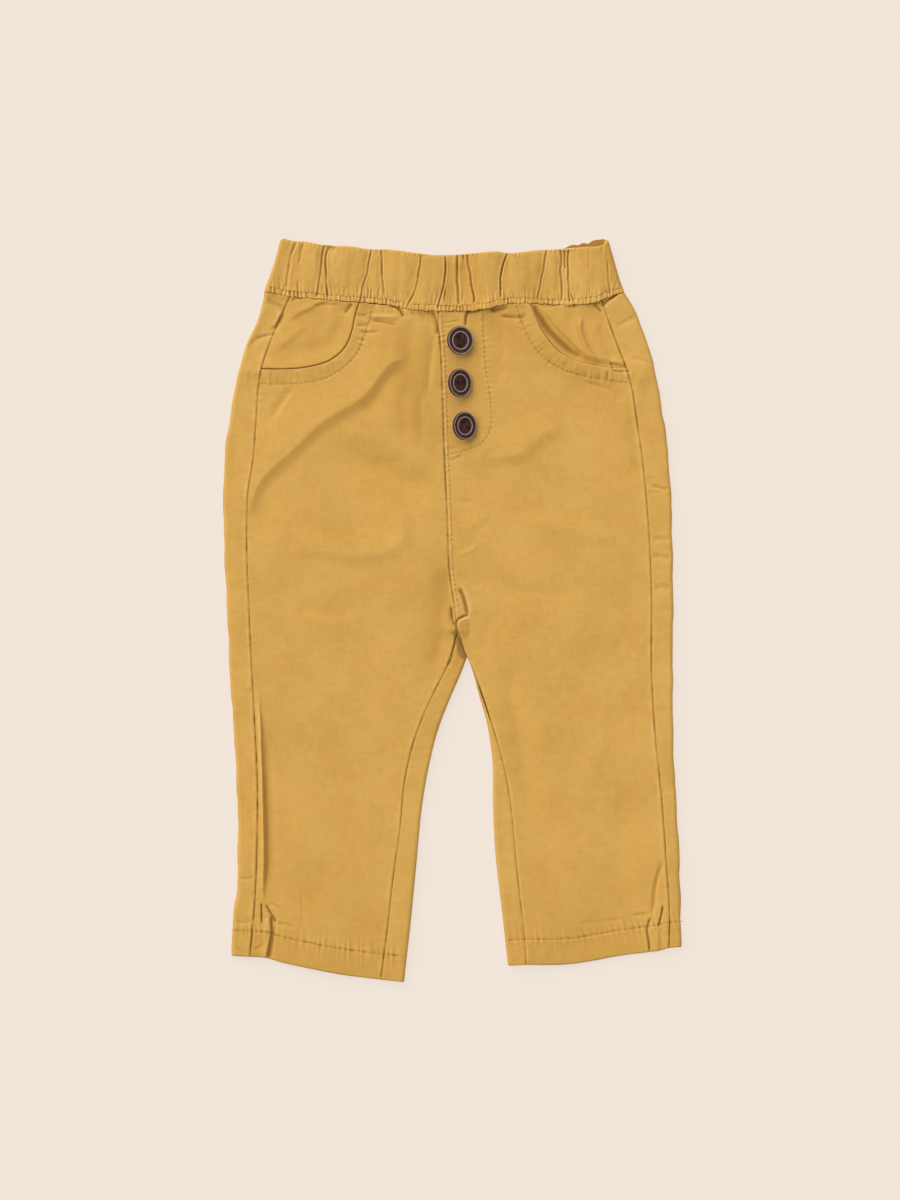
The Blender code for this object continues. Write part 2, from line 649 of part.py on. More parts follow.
def make_button(button):
    """A turned shank button that leans over on its shank until it all but touches the cloth."""
    profile = button_profile()
    turns = np.linspace(0, 2 * math.pi, BUTTON_SIDES, endpoint=False)
    points = [(0, 0, profile[0][1])]
    for radius, level in profile[1:-1]:
        points += [(radius * math.cos(a), radius * math.sin(a), level) for a in turns]
    points.append((0, 0, profile[-1][1]))
    rings = len(profile) - 2
    faces = []
    for k in range(BUTTON_SIDES):
        following = (k + 1) % BUTTON_SIDES
        faces.append((0, 1 + k, 1 + following))
        for ring in range(rings - 1):
            low, high = 1 + ring * BUTTON_SIDES, 1 + (ring + 1) * BUTTON_SIDES
            faces.append((low + k, high + k, high + following, low + following))
        last = 1 + (rings - 1) * BUTTON_SIDES
        faces.append((last + k, len(points) - 1, last + following))
    points = np.array(points)
    tilt = math.radians(button.tilt)
    lean = np.array([
        [math.cos(tilt), 0, math.sin(tilt)], [0, 1, 0], [-math.sin(tilt), 0, math.cos(tilt)],
    ])
    points = points @ lean.T
    points[:, :2] += (button.across, button.up)
    cloth = TOP + relief(points[:, 0], points[:, 1])
    points[:, 2] += SEAM_GAP + (cloth - points[:, 2]).max()
    return make_object(button.name, points, faces, make_material("brown button", BROWN, 0.4))


# -------------------------------------------------------------------------------------- the part


def main():
    for old in list(bpy.data.objects):
        bpy.data.objects.remove(old)
    for side in LEGS:
        front_panel(side)
        back_panel(side)
        pocket_yoke(side)
    waistband()
    for button in BUTTONS:
        make_button(button)


main()
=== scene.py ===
# %% [markdown]
# # Baby trousers in mustard twill, laid flat
#
# This notebook dresses a pair of baby trousers that lie on a table with the front up. The packed
# frame already holds every piece at its real size. Here each piece of cloth is made again as a
# thin shell on a grid fine enough for folds, puckers and pleats, and then it is dyed, sewn and
# photographed.
#
# X runs across (the wearer's right leg is at -X), Y runs up from the hems to the waist and Z
# points off the table. Sizes are in millimetres until the last step of each piece.

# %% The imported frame
import math
from collections import namedtuple

import bpy
import numpy as np
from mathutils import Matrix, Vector


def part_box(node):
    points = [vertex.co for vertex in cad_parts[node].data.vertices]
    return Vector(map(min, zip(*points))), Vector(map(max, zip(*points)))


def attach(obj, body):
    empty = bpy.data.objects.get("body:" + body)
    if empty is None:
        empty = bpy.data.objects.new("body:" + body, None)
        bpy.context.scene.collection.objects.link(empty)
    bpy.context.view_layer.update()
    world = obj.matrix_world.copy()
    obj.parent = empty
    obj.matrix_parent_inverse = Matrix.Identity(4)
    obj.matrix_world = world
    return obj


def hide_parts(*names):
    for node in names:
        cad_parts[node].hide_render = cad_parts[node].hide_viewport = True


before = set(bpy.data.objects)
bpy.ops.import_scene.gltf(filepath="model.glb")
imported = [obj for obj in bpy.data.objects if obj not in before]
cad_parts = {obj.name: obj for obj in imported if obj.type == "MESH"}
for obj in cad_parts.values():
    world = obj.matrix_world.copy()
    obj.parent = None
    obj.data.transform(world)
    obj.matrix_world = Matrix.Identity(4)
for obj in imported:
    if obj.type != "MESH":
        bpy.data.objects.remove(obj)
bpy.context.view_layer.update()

MM = 0.001

# %% [markdown]
# ## The cut of the trousers
#
# Each leg is a flattened tube. The back panel is the wider one: it lies on the table, folds round
# both edges of the leg and shows on top as a strip along each seam. The front panel lies between
# those seams. A tailor would draw the same few lines that the tables below hold: the seams, the
# folded edges and the pocket openings, each as (across, up).

# %% Layers of cloth and the seams that both legs share
CLOTH = 1.2  # wall of the body cloth
TOP = 4.0  # level of the front's outer face
BEND = TOP / 2  # outer radius of the fold at the edge of a leg
SEAM_GAP = 0.14  # what is left open between two edges that are sewn together
BAND_GAP = 0.04  # the same, along the waistband
HEM_DEPTH = 14.0
HEM_EXTRA = 0.5  # the hem's second layer, on the inner side
YOKE_CLOTH, YOKE_CLEARANCE, YOKE_UNDERLAP = 1.0, 0.4, 6.0
MOUTH_RISE, MOUTH_SPREAD = 0.9, 9.0  # the cloth stands up along a pocket opening
FOLD_FADE = 6.0  # folds die out this far from the edge of a leg
LINE_REACH = 30.0  # rows ease on to the waistband's seam and the hem over this length
MOUTH_CORNER_SHARE = 0.14  # how far down the inner edge the pocket's corner is matched to

CENTRE_FRONT = (
    (-7.6, 161), (-7.8, 154), (-7, 146), (-5.5, 117), (-4.7, 91), (-2.9, 50), (-1.5, 18), (0.7, 3),
    (2.3, -11.3),
)
CROTCH = (2.3, -11.3)  # where the rise meets the inseams
FORK = (7.7, -25.3)  # where the two legs part

# %% Each leg's seams, folded edges and pocket opening
Leg = namedtuple("Leg", "sign side_fold side_seam inseam inner_fold mouth grain")
LEGS = {
    "right": Leg(
        sign=-1,
        side_fold=(
            (-101.3, 170.6), (-104.7, 156), (-111, 143), (-114.9, 130), (-118.7, 110), (-121.9, 91),
            (-123.4, 62), (-123.2, 40), (-121.6, 4), (-119.6, -40), (-117, -78), (-115.6, -125),
            (-116.2, -150), (-118.8, -172), (-118.8, -186),
        ),
        side_seam=(
            (-87.5, 168.8), (-95.6, 150.5), (-100.2, 138.5), (-102.9, 129.5), (-104.4, 120), (-105.8, 100),
            (-107.4, 80), (-110, 63), (-110.7, 42), (-109.2, -5), (-106.8, -54), (-105, -95),
            (-105.2, -125), (-106.5, -158), (-109.2, -187),
        ),
        inseam=(
            CROTCH, (1, -17.5), (-3, -30), (-8.9, -42), (-15.5, -56), (-21, -71), (-25.3, -89),
            (-28.4, -118), (-31.6, -141), (-35.3, -173), (-38.6, -197.5),
        ),
        inner_fold=(
            FORK, (5.2, -32), (0.1, -44), (-7.4, -63), (-12.8, -84), (-16.4, -105), (-19.4, -135),
            (-22.6, -168), (-26.2, -199.3),
        ),
        mouth=(
            (-50.2, 165), (-52.3, 158), (-54, 150), (-58.2, 140.5), (-66, 134), (-77, 130.6),
            (-91, 129.3), (-102.9, 129.5),
        ),
        grain=3.0,
    ),
    "left": Leg(
        sign=1,
        side_fold=(
            (92.5, 170.2), (97.4, 162), (102.3, 149.5), (107.1, 136.5), (110.9, 117), (114.2, 98),
            (116.4, 78), (117.9, 46), (118.5, 15), (118.4, -50), (119, -82), (121.6, -125),
            (122.7, -165), (123.2, -181.5),
        ),
        side_seam=(
            (79.5, 168.2), (83.5, 156.5), (88.8, 142), (93.4, 130), (96.2, 120), (99.2, 101),
            (102.3, 79), (105, 50), (107, 8), (107, -34), (109.2, -70), (112.2, -99), (114.6, -132),
            (116.6, -168), (116.2, -182.5),
        ),
        inseam=(
            CROTCH, (4.5, -17), FORK, (11.2, -33), (14.8, -42), (20.6, -60), (24.9, -74.5),
            (28.9, -91), (31.6, -109), (33.7, -132), (35.8, -152), (38.5, -176), (39.4, -190.5),
        ),
        inner_fold=(
            FORK, (10.4, -32), (14.2, -46), (18.6, -62), (21.2, -80), (21.6, -105), (22.8, -130),
            (26.2, -160), (29.7, -191.4),
        ),
        mouth=(
            (41.6, 163.8), (44.3, 157), (48.7, 149), (56.6, 139.5), (65.2, 134.4), (76, 131.6),
            (85.5, 130.2), (93.4, 130),
        ),
        grain=-4.0,
    ),
}

# %% Curves in plan


def steps_of(points):
    """Length of each step from one point of a line to the next."""
    return np.hypot(*np.diff(points, axis=0).T)


def smooth_run(points, step=1.0):
    """A smooth curve through the points, with a point about every step."""
    knots = np.array(points, float)
    chords = steps_of(knots)
    along = np.concatenate([[0], np.cumsum(chords)])
    slopes = np.gradient(knots, along, axis=0)
    wanted = np.linspace(0, along[-1], int(along[-1] / step) + 2)
    i = np.clip(np.searchsorted(along, wanted, side="right") - 1, 0, len(chords) - 1)
    h = chords[i][:, None]
    u = (wanted - along[i])[:, None] / h
    return (
        (1 + 2 * u) * (1 - u) ** 2 * knots[i]
        + u * (1 - u) ** 2 * h * slopes[i]
        + u * u * (3 - 2 * u) * knots[i + 1]
        + u * u * (u - 1) * h * slopes[i + 1]
    )


class Edge:
    """The edge of a piece, in plan: one or more smooth runs, one after another."""

    def __init__(self, *runs):
        self.points = np.concatenate([smooth_run(run) for run in runs])
        self.along = np.concatenate([[0], np.cumsum(steps_of(self.points))])
        self.length = self.along[-1]

    def at(self, share):
        """Points at these shares of the edge's length."""
        wanted = np.asarray(share) * self.length
        return np.stack([np.interp(wanted, self.along, self.points[:, k]) for k in (0, 1)], -1)

    def across(self, up):
        """Where the edge lies at this height."""
        order = np.argsort(self.points[:, 1])
        return np.interp(up, self.points[order, 1], self.points[order, 0])


def smoothstep(x):
    """0 below 0, 1 above 1, and smooth in between."""
    x = np.clip(x, 0, 1)
    return x * x * (3 - 2 * x)


def bell(x, width):
    """1 at zero, and next to nothing beyond twice the width."""
    return np.exp(-((x / width) ** 2))


def both_ends(along, length, reach):
    """1 along a line, and fading to 0 at both of its ends over this reach."""
    return smoothstep(along / reach) * smoothstep((length - along) / reach)


def beside(path, x, y):
    """(distance, along): how far each point lies from a path, positive on its left, and where."""
    reached = np.concatenate([[0], np.cumsum(steps_of(path))])
    tangents = np.gradient(path, axis=0)
    tangents /= np.hypot(*tangents.T)[:, None]
    flat = np.stack([x.ravel(), y.ravel()], -1)
    parts = np.array_split(flat, max(1, len(flat) * len(path) // 4_000_000))
    nearest = np.concatenate([
        ((part[:, None, 0] - path[:, 0]) ** 2 + (part[:, None, 1] - path[:, 1]) ** 2).argmin(1)
        for part in parts
    ]).reshape(x.shape)
    dx, dy = x - path[nearest, 0], y - path[nearest, 1]
    tx, ty = tangents[nearest, 0], tangents[nearest, 1]
    return tx * dy - ty * dx, reached[nearest] + tx * dx + ty * dy


# %% The lines worked out from the tables
EDGE_WAVES = ((31.0, 0.20), (17.0, 0.10), (8.0, 0.03))  # (length, height)


def waved(edge, phase):
    """A folded edge is never quite smooth: three small waves run along it."""
    for k, (length, height) in enumerate(EDGE_WAVES):
        turn = edge.along * (2 * math.pi / length) + phase * (k + 1.7)
        edge.points[:, 0] += height * np.sin(turn + 0.9 * np.sin(turn / 2.7))
    return edge


EDGES = {
    side: {
        "side_fold": waved(Edge(leg.side_fold), 1.0 + leg.sign),
        "side_seam": Edge(leg.side_seam),
        "inseam": Edge(leg.inseam),
        "inner_fold": Edge(leg.inner_fold),
        "mouth": Edge(leg.mouth),
    }
    for side, leg in LEGS.items()
}
CENTRE = Edge(CENTRE_FRONT)
FORK_LINE = Edge((CROTCH, FORK))


def inner_line(side, up):
    """The inner edge of a leg: the centre seam, then the fork, then the inner fold."""
    edge = np.where(up > CROTCH[1], CENTRE.across(up), FORK_LINE.across(up))
    return np.where(up > FORK[1], edge, EDGES[side]["inner_fold"].across(up))


BAND_SEAM = smooth_run((  # between the waistband and the panels
    (-106, 172), (-96.5, 170.3), (-88.5, 168.5), (-76, 167.3), (-60, 165.8), (-45, 164.8), (-33, 163.4),
    (-24, 161.6), (-15, 160.9), (0, 160.5), (12, 160.9), (20, 162.3), (28, 164.2), (40, 164.6),
    (58, 163.7), (68, 164.2), (76, 165), (82, 167.3), (89, 169.8), (98, 171.5),
))
HEMS = {  # lower edges of the legs, the same for front and back
    "right": smooth_run((
        (-119.5, -186), (-110, -186.5), (-100, -187.2), (-93, -189.3), (-80, -192.2), (-60.7, -196),
        (-39.5, -198.7), (-26, -200.2),
    )),
    "left": smooth_run((
        (29, -191.4), (40, -190.9), (51, -191), (61, -190.7), (75, -188.8), (88.6, -186.2),
        (105.7, -184), (111.2, -183.3), (116, -181.7), (124, -181.3),
    )),
}

SEAM_WAVES = ((7.1, 0.16), (4.3, 0.13), (2.6, 0.10))  # (length, height): the elastic draws the seam in


def band_seam(x):
    """Height of the seam between the waistband and the panels."""
    waves = sum(
        height * np.sin(x * (2 * math.pi / length) + 1.3 * np.sin(x / length))
        for length, height in SEAM_WAVES
    )
    return np.interp(x, *BAND_SEAM.T) + waves


def hem_line(side, x):
    """Height of a leg's lower edge."""
    return np.interp(x, *HEMS[side].T)


FAR = 1e3  # further than any two points of the trousers


def to_leg_edge(x, y):
    """Distance in from the nearest folded edge of the trousers."""
    middle = np.where(y > CROTCH[1], CENTRE.across(y), FORK_LINE.across(y))
    room = np.full_like(x, FAR)
    for side, leg in LEGS.items():
        on_leg = (x - middle) * leg.sign > 0
        outer = (EDGES[side]["side_fold"].across(y) - x) * leg.sign
        inner = np.where(y > CROTCH[1], FAR, (x - inner_line(side, y)) * leg.sign)
        room = np.where(on_leg, np.minimum(outer, inner), room)
    return np.maximum(room, 0)


print("inseam lengths", {side: round(e["inseam"].length) for side, e in EDGES.items()}, "mm")

# %% [markdown]
# ## The relief of the cloth
#
# Cloth that lies flat still has a landscape: soft folds, creases, the furrow that a row of
# stitches pulls down, and the little puckers beside it. One could sculpt each piece by hand, or
# run a simulation, but neither puts a fold where the real one is. So the landscape is one map of
# heights with a point every 0.4 mm. Folds and furrows are added to it along drawn lines, and every
# panel reads the same map, which keeps folds running on across the seams.

# %% A map of heights
GRID = 0.4  # distance between two points of the map


class HeightMap:
    """Heights over a plan, on a square grid."""

    def __init__(self, low=(-130.0, -206.0), high=(130.0, 206.0), grid=GRID):
        self.grid = grid
        self.x = np.arange(low[0], high[0] + grid, grid)
        self.y = np.arange(low[1], high[1] + grid, grid)
        self.z = np.zeros((len(self.y), len(self.x)))

    def around(self, path, reach):
        """The window of the map within reach of a path, and its plan coordinates."""
        low, high = path.min(0) - reach, path.max(0) + reach
        window = (
            slice(*np.searchsorted(self.y, (low[1], high[1]))),
            slice(*np.searchsorted(self.x, (low[0], high[0]))),
        )
        return window, *np.meshgrid(self.x[window[1]], self.y[window[0]])

    def beside_line(self, path, reach, step=1.0):
        """The window within reach of a smooth run; how far its points lie from the run, and where
        along it; and the run's length."""
        run = smooth_run(path, step)
        window, x, y = self.around(run, reach)
        return window, *beside(run, x, y), steps_of(run).sum()

    def at(self, x, y):
        """Height at any place, read between the grid's points."""
        column = np.clip((x - self.x[0]) / self.grid, 0, len(self.x) - 1.001)
        row = np.clip((y - self.y[0]) / self.grid, 0, len(self.y) - 1.001)
        i, j = row.astype(int), column.astype(int)
        u, v = column - j, row - i
        low = self.z[i, j] * (1 - u) + self.z[i, j + 1] * u
        high = self.z[i + 1, j] * (1 - u) + self.z[i + 1, j + 1] * u
        return low * (1 - v) + high * v


def blurred(heights, across, up):
    """The map with everything finer than these sizes, in millimetres, smoothed away."""
    fx = np.fft.rfftfreq(heights.shape[1], GRID)
    fy = np.fft.fftfreq(heights.shape[0], GRID)[:, None]
    keep = np.exp(-2 * math.pi**2 * ((fx * across) ** 2 + (fy * up) ** 2))
    return np.fft.irfft2(np.fft.rfft2(heights) * keep, s=heights.shape)


def undulation(seed, across, up):
    """Soft random waves of this size, about one high and deep."""
    shape = HeightMap().z.shape
    waves = blurred(np.random.default_rng(seed).standard_normal(shape), across, up)
    return waves / waves.std()


def rolling(rows, level=0.0):
    """Waves of several sizes, one on another: rows of (height, seed, across, up)."""
    return sum((height * undulation(seed, across, up) for height, seed, across, up in rows), level)


# %% [markdown]
# A fold has a crest along a drawn line, a gentle side and a steep side. A steep side away from
# the light is what the eye reads as a dark line. `left` and `right` are the widths on the left and
# right of someone who walks along the line, and a trough is a fold with a negative height.
# The paths are warped a little so that no fold is a perfect curve.

# %% The folds
Fold = namedtuple("Fold", "path height left right sharp fade", defaults=(0.3, 0.25))

FOLDS = (
    # Right hip: the long fold from the fly to the side seam
    Fold(
        (
            (-21, 139), (-28, 135.5), (-34, 132.5), (-38, 128), (-43, 120.5), (-50, 113.5), (-58, 108),
            (-66, 102.5), (-73, 97.5), (-80, 91.5), (-88, 84.5), (-95, 78.5), (-101, 72.5), (-105, 66.5),
            (-107.5, 58), (-108.5, 48),
        ),
        1.6, 6.5, 30, 0.75, 0.1,
    ),
    Fold(((-24, 131), (-33, 126), (-41, 114), (-54, 103)), -0.7, 7, 6),
    # Right hip: what hangs between that fold, the fly and the knee
    Fold(
        ((-70, 90), (-57, 85.5), (-50, 80.5), (-45, 78.7), (-38, 76.5), (-30, 73.5), (-20, 69.5), (-8, 65)),
        -1.05, 12, 24, 0.8,
    ),
    Fold(((-45, 80), (-32, 80.5), (-21, 83)), -0.4, 6, 8, 0.6),
    Fold(
        ((-25, 158), (-23.6, 150), (-23.2, 142), (-23.6, 134), (-24.6, 125)),
        -0.75, 6.0, 10, 0.2, 0.4,
    ),
    Fold(((-24.5, 124), (-26, 108), (-26, 90)), -0.5, 5, 6, 0.1),
    Fold(((-10, 153), (-10.8, 142), (-12, 130), (-12.5, 112)), -0.7, 2.6, 5, 0.4),
    Fold(((-16, 118), (-16.5, 104), (-15, 88)), -0.4, 4, 4, 0.1),
    Fold(
        (
            (-41, 66), (-35, 59.5), (-30, 53), (-27, 46), (-26.5, 40), (-28.5, 36), (-34, 33), (-41, 30.5),
            (-50, 28.5), (-58, 29), (-66, 31), (-78, 32), (-92, 36),
        ),
        0.9, 7.0, 18, 0.5,
    ),
    Fold(((-85, -4), (-64, -6.5), (-44, -3)), 0.5, 6, 12),
    Fold(((-98, 101), (-94, 109), (-89, 116), (-86, 120)), -0.7, 4, 3, 0.3),
    Fold(((-60, 96), (-48, 93), (-36, 88)), 0.35, 6, 6),
    # Left hip
    Fold(
        (
            (8, 76), (14, 79.3), (20, 82.4), (28, 83.4), (34, 84.6), (41, 89.5), (47, 93.5), (54, 97.5),
            (62, 103.5),
        ),
        1.0, 15, 7.0, 0.4,
    ),
    Fold(((3, 75), (8, 79.5), (15, 84), (22, 90), (27, 95)), 0.4, 6, 4, 0.2),
    Fold(((7, 40), (12, 46.5), (19, 50.5)), 0.4, 8, 4, 0.2),
    Fold(((36, 46), (52, 44.5), (76, 39), (92, 37)), 0.5, 10, 6),
    Fold(
        ((8, 22), (17, 19), (24, 15), (30, 11.6), (37, 9.9), (46, 9.3), (54, 8.6), (62, 9), (72, 11)),
        -0.7, 9, 18, 0.8,
    ),
    Fold(((3, 21), (8, 15), (16, 12)), -0.4, 4, 3),
    Fold(((103, 128), (98, 116), (101, 104)), 0.7, 7, 7),
    Fold(((84, 124), (87, 118), (91, 110)), -0.6, 5, 4),
    Fold(((24, 158), (25.5, 148), (26, 132), (25, 118)), -0.45, 5, 8),
    Fold(((96, 105), (98, 88), (99, 70)), -0.5, 4, 6),
    # Crotch and the inner sides of the legs
    Fold(((3, 15), (6.2, 9), (8.4, 2), (9.4, -4)), 0.5, 9, 2.4, 0.5, 0.2),
    Fold(((-3.4, 24), (-2.6, 8), (-0.4, -4), (1.6, -12)), -1.7, 1.2, 11, 0.1, 0.3),
    Fold(((-6, -10), (-8, -20), (-12, -30)), -0.5, 5, 6, 0.1),
    Fold(((-3, 4), (-3.2, -6), (-1, -14)), 0.7, 3, 5),
    Fold(((26, -24), (33, -52), (38, -82), (42, -120)), -1.0, 12, 9),
    Fold(((30, -5), (46, -45), (56, -95)), 0.7, 16, 20),
    # Right leg: the pleat along the side seam
    Fold(
        (
            (-103.8, -42), (-103.2, -70), (-102.6, -90), (-102.1, -110), (-101.9, -130), (-101.8, -148),
            (-101.6, -160),
        ),
        2.5, 1.3, 3.0, 0.6, 0.22,
    ),
    Fold(((-101, -62), (-100.4, -90), (-99.7, -125), (-99.6, -160)), -1.1, 5.5, 1.6, 0.4, 0.3),
    Fold(((-87, -110), (-80, -124), (-69, -139)), 0.5, 9, 7),
    Fold(((-62, -86), (-48, -104), (-40, -130)), 0.4, 14, 14),
    # Left leg, at the hem
    Fold(((113.5, -134), (110.6, -142), (108.6, -150), (108, -158), (107, -166)), -1.3, 1.3, 2.6, 0.6),
    Fold(((88, -96), (92, -124), (90, -150)), -0.4, 12, 12),
)

FOLD_STEP = 0.5  # distance between two points of a fold's path
CREASE_SHADE, CREASE_SHADE_FROM, CREASE_SHADE_WIDTH = 0.30, -0.6, 0.6  # painted shade along the bottom of deeper creases
WARP_FROM = 6.0  # only folds wider than this are warped in full
WARP_X, WARP_Y = rolling([(0.5, 3, 9, 9)]), rolling([(0.5, 4, 9, 9)])


def add_fold(heights, fold, shade_map=None):
    """Raise the cloth along a fold, or lower it along a trough. A narrow trough also gets painted shade."""
    path = smooth_run(fold.path, FOLD_STEP)
    widest = max(fold.left, fold.right)
    window, x, y = heights.around(path, widest + 2)
    drift = smoothstep(widest / WARP_FROM)
    distance, along = beside(path, x + drift * WARP_X[window], y + drift * WARP_Y[window])
    length = steps_of(path).sum()
    u = np.clip(np.abs(distance) / np.where(distance > 0, fold.left, fold.right), 0, 1)
    crest = (1 - u) ** 2 * (1 + 2 * (1 - fold.sharp) * u)
    ends = both_ends(along, length, fold.fade * length)
    heights.z[window] += fold.height * crest * ends
    # Painted shade: a narrow dark line along the bottom of a deep trough.
    if shade_map is not None and fold.height < CREASE_SHADE_FROM:
        narrow = bell(distance, CREASE_SHADE_WIDTH)
        shade_map.z[window] += CREASE_SHADE * (CREASE_SHADE_FROM - fold.height) * narrow * ends


folds = HeightMap()
for fold in FOLDS:
    add_fold(folds, fold)
plan_x, plan_y = np.meshgrid(folds.x, folds.y)
edge_room = to_leg_edge(plan_x, plan_y)
BROAD_WAVES = ((0.30, 11, 13, 20), (0.05, 12, 5, 6))
MOUTH_HEIGHTS = (105, 178)  # the pocket openings lie between these


def mouth_relief(x, y):
    """The cloth rises towards the pocket openings, on both sides of them."""
    height = np.zeros_like(x)
    for edges in EDGES.values():
        distance, _ = beside(edges["mouth"].points, x, y)
        height = np.maximum(height, 1 - smoothstep(np.abs(distance) / MOUTH_SPREAD))
    return MOUTH_RISE * height


folds.z += rolling(BROAD_WAVES)
near_mouths = (slice(*np.searchsorted(folds.y, MOUTH_HEIGHTS)), slice(None))
folds.z[near_mouths] += mouth_relief(plan_x[near_mouths], plan_y[near_mouths])
folds.z *= smoothstep(edge_room / FOLD_FADE)
print("folds from", round(folds.z.min(), 2), "to", round(folds.z.max(), 2), "mm")

# %% [markdown]
# ## Furrows, puckers and gathers
#
# A lockstitch pulls the cloth down into a shallow furrow, and because the thread is a little
# short, the cloth beside it ripples. A seam does the same, with a narrow gap at its bottom and the
# seam allowances as a low welt on each side. These are too many to draw one by one, so a function
# follows each line, and its ripples vary with a fixed seed.

# %% Stitch lines and seams
Furrow = namedtuple("Furrow", "path depth width pucker pitch reach welt side", defaults=(1,))

POCKET_STITCH = {
    "right": (
        (-43, 163.5), (-44.5, 157), (-47.7, 146.8), (-52.2, 136.8), (-58.5, 130.6), (-66, 125.8),
        (-74.1, 123.1), (-84.8, 121.9), (-95.6, 121.6), (-103.6, 121.8),
    ),
    "left": (
        (34.3, 163.5), (36.7, 155.9), (41.4, 145.7), (47.7, 136.8), (54.8, 131.6), (62.7, 127.9),
        (72.9, 125.4), (82.4, 123.8), (95.4, 121.9),
    ),
}
FLY_STITCH = (
    (16.3, 160.8), (16.3, 157), (17.3, 134.4), (20.4, 108.6), (20.4, 99.5), (17.9, 92.9), (13.8, 89),
    (7.5, 86.3), (-3.4, 83.3),
)
CENTRE_STITCH_OFFSET = 2.0  # the edge stitching runs this far to the left leg's side of the seam


def centre_stitch():
    """The edge stitching beside the centre front, from the waistband down to the crotch."""
    return [(x + CENTRE_STITCH_OFFSET, y) for x, y in CENTRE_FRONT[:-1]]


def hem_stitch(side, inset=0.6):
    """The row of stitches that holds up the hem, across a whole leg."""
    x0 = LEGS[side].side_fold[-1][0] - LEGS[side].sign * inset
    x1 = LEGS[side].inner_fold[-1][0] + LEGS[side].sign * inset
    across = np.linspace(x0, x1, 12)
    return np.stack([across, hem_line(side, across) + HEM_DEPTH], -1)


SEAM_SHADE, SEAM_SHADE_FROM = 1.4, 0.2  # painted shade along the bottom of a seam, by its depth
WELT_PLACE, WELT_WIDTH = 1.25, 0.75
WANDER_STEP = 4.0  # a furrow changes its mind after this length
FURROW_END = 1.5  # a furrow fades in and out over this length


def wandering(seed, runs, along, length, step, spare):
    """Runs of random values that change smoothly along a line, from one step of it to the next."""
    values = np.random.default_rng(seed).standard_normal((runs, int(length / step) + spare))
    return (np.interp(along / step + 1, np.arange(values.shape[1]), run) for run in values)


def add_furrow(heights, furrow, seed, shade_map):
    """Press a furrow into the cloth along a line, with ripples and a welt beside it."""
    window, distance, along, length = heights.beside_line(furrow.path, 3 * furrow.reach)
    inside = smoothstep(along / FURROW_END + 0.5) * smoothstep((length - along) / FURROW_END + 0.5)
    shift, strength, deep, proud = wandering(seed, 4, along, length, WANDER_STEP, 5)
    ripple = np.cos(2 * math.pi * along / furrow.pitch + 2.2 * shift + 0.25 * distance)
    relief = furrow.pucker * (1 + 0.7 * strength) * ripple * np.exp(-np.abs(distance) / furrow.reach)
    in_furrow = bell(distance, furrow.width)
    relief -= furrow.depth * (1 + 0.35 * deep) * in_furrow
    relief += furrow.welt * (1 + 0.5 * proud) * bell(distance * furrow.side - WELT_PLACE, WELT_WIDTH)
    heights.z[window] += relief * inside
    # Painted shade along the bottom of the furrow, by its depth.
    shading = SEAM_SHADE * max(furrow.depth - SEAM_SHADE_FROM, 0) * (1 + 0.3 * deep)
    shade_map.z[window] += shading * in_furrow * inside


FURROWS = [
    Furrow(CENTRE_FRONT, 0.42, 0.5, 0.05, 4.1, 3.0, 0.22, 1),
    Furrow(centre_stitch(), 0.14, 0.5, 0.12, 2.7, 2.0, 0.0),
    Furrow(FLY_STITCH, 0.16, 0.5, 0.12, 2.7, 2.0, 0.07, -1),
]
for side, leg in LEGS.items():
    FURROWS += [
        Furrow(leg.side_seam, 0.34, 0.5, 0.05, 5.3, 4.0, 0.20, -1),
        Furrow(leg.inseam, 0.30, 0.5, 0.05, 4.7, 3.5, 0.14, leg.sign),
        Furrow(POCKET_STITCH[side], 0.2, 0.5, 0.12, 2.9, 2.6, 0.06, -leg.sign),
        Furrow(hem_stitch(side), 0.28, 0.6, 0.22, 3.1, 3.6, 0.08),
    ]

# The second map holds painted shade in deep places, and a darker tone towards the hems.
detail, painted_shade_and_tone = HeightMap(), HeightMap()
for seed, furrow in enumerate(FURROWS):
    add_furrow(detail, furrow, seed, painted_shade_and_tone)
print(len(FURROWS), "furrows")
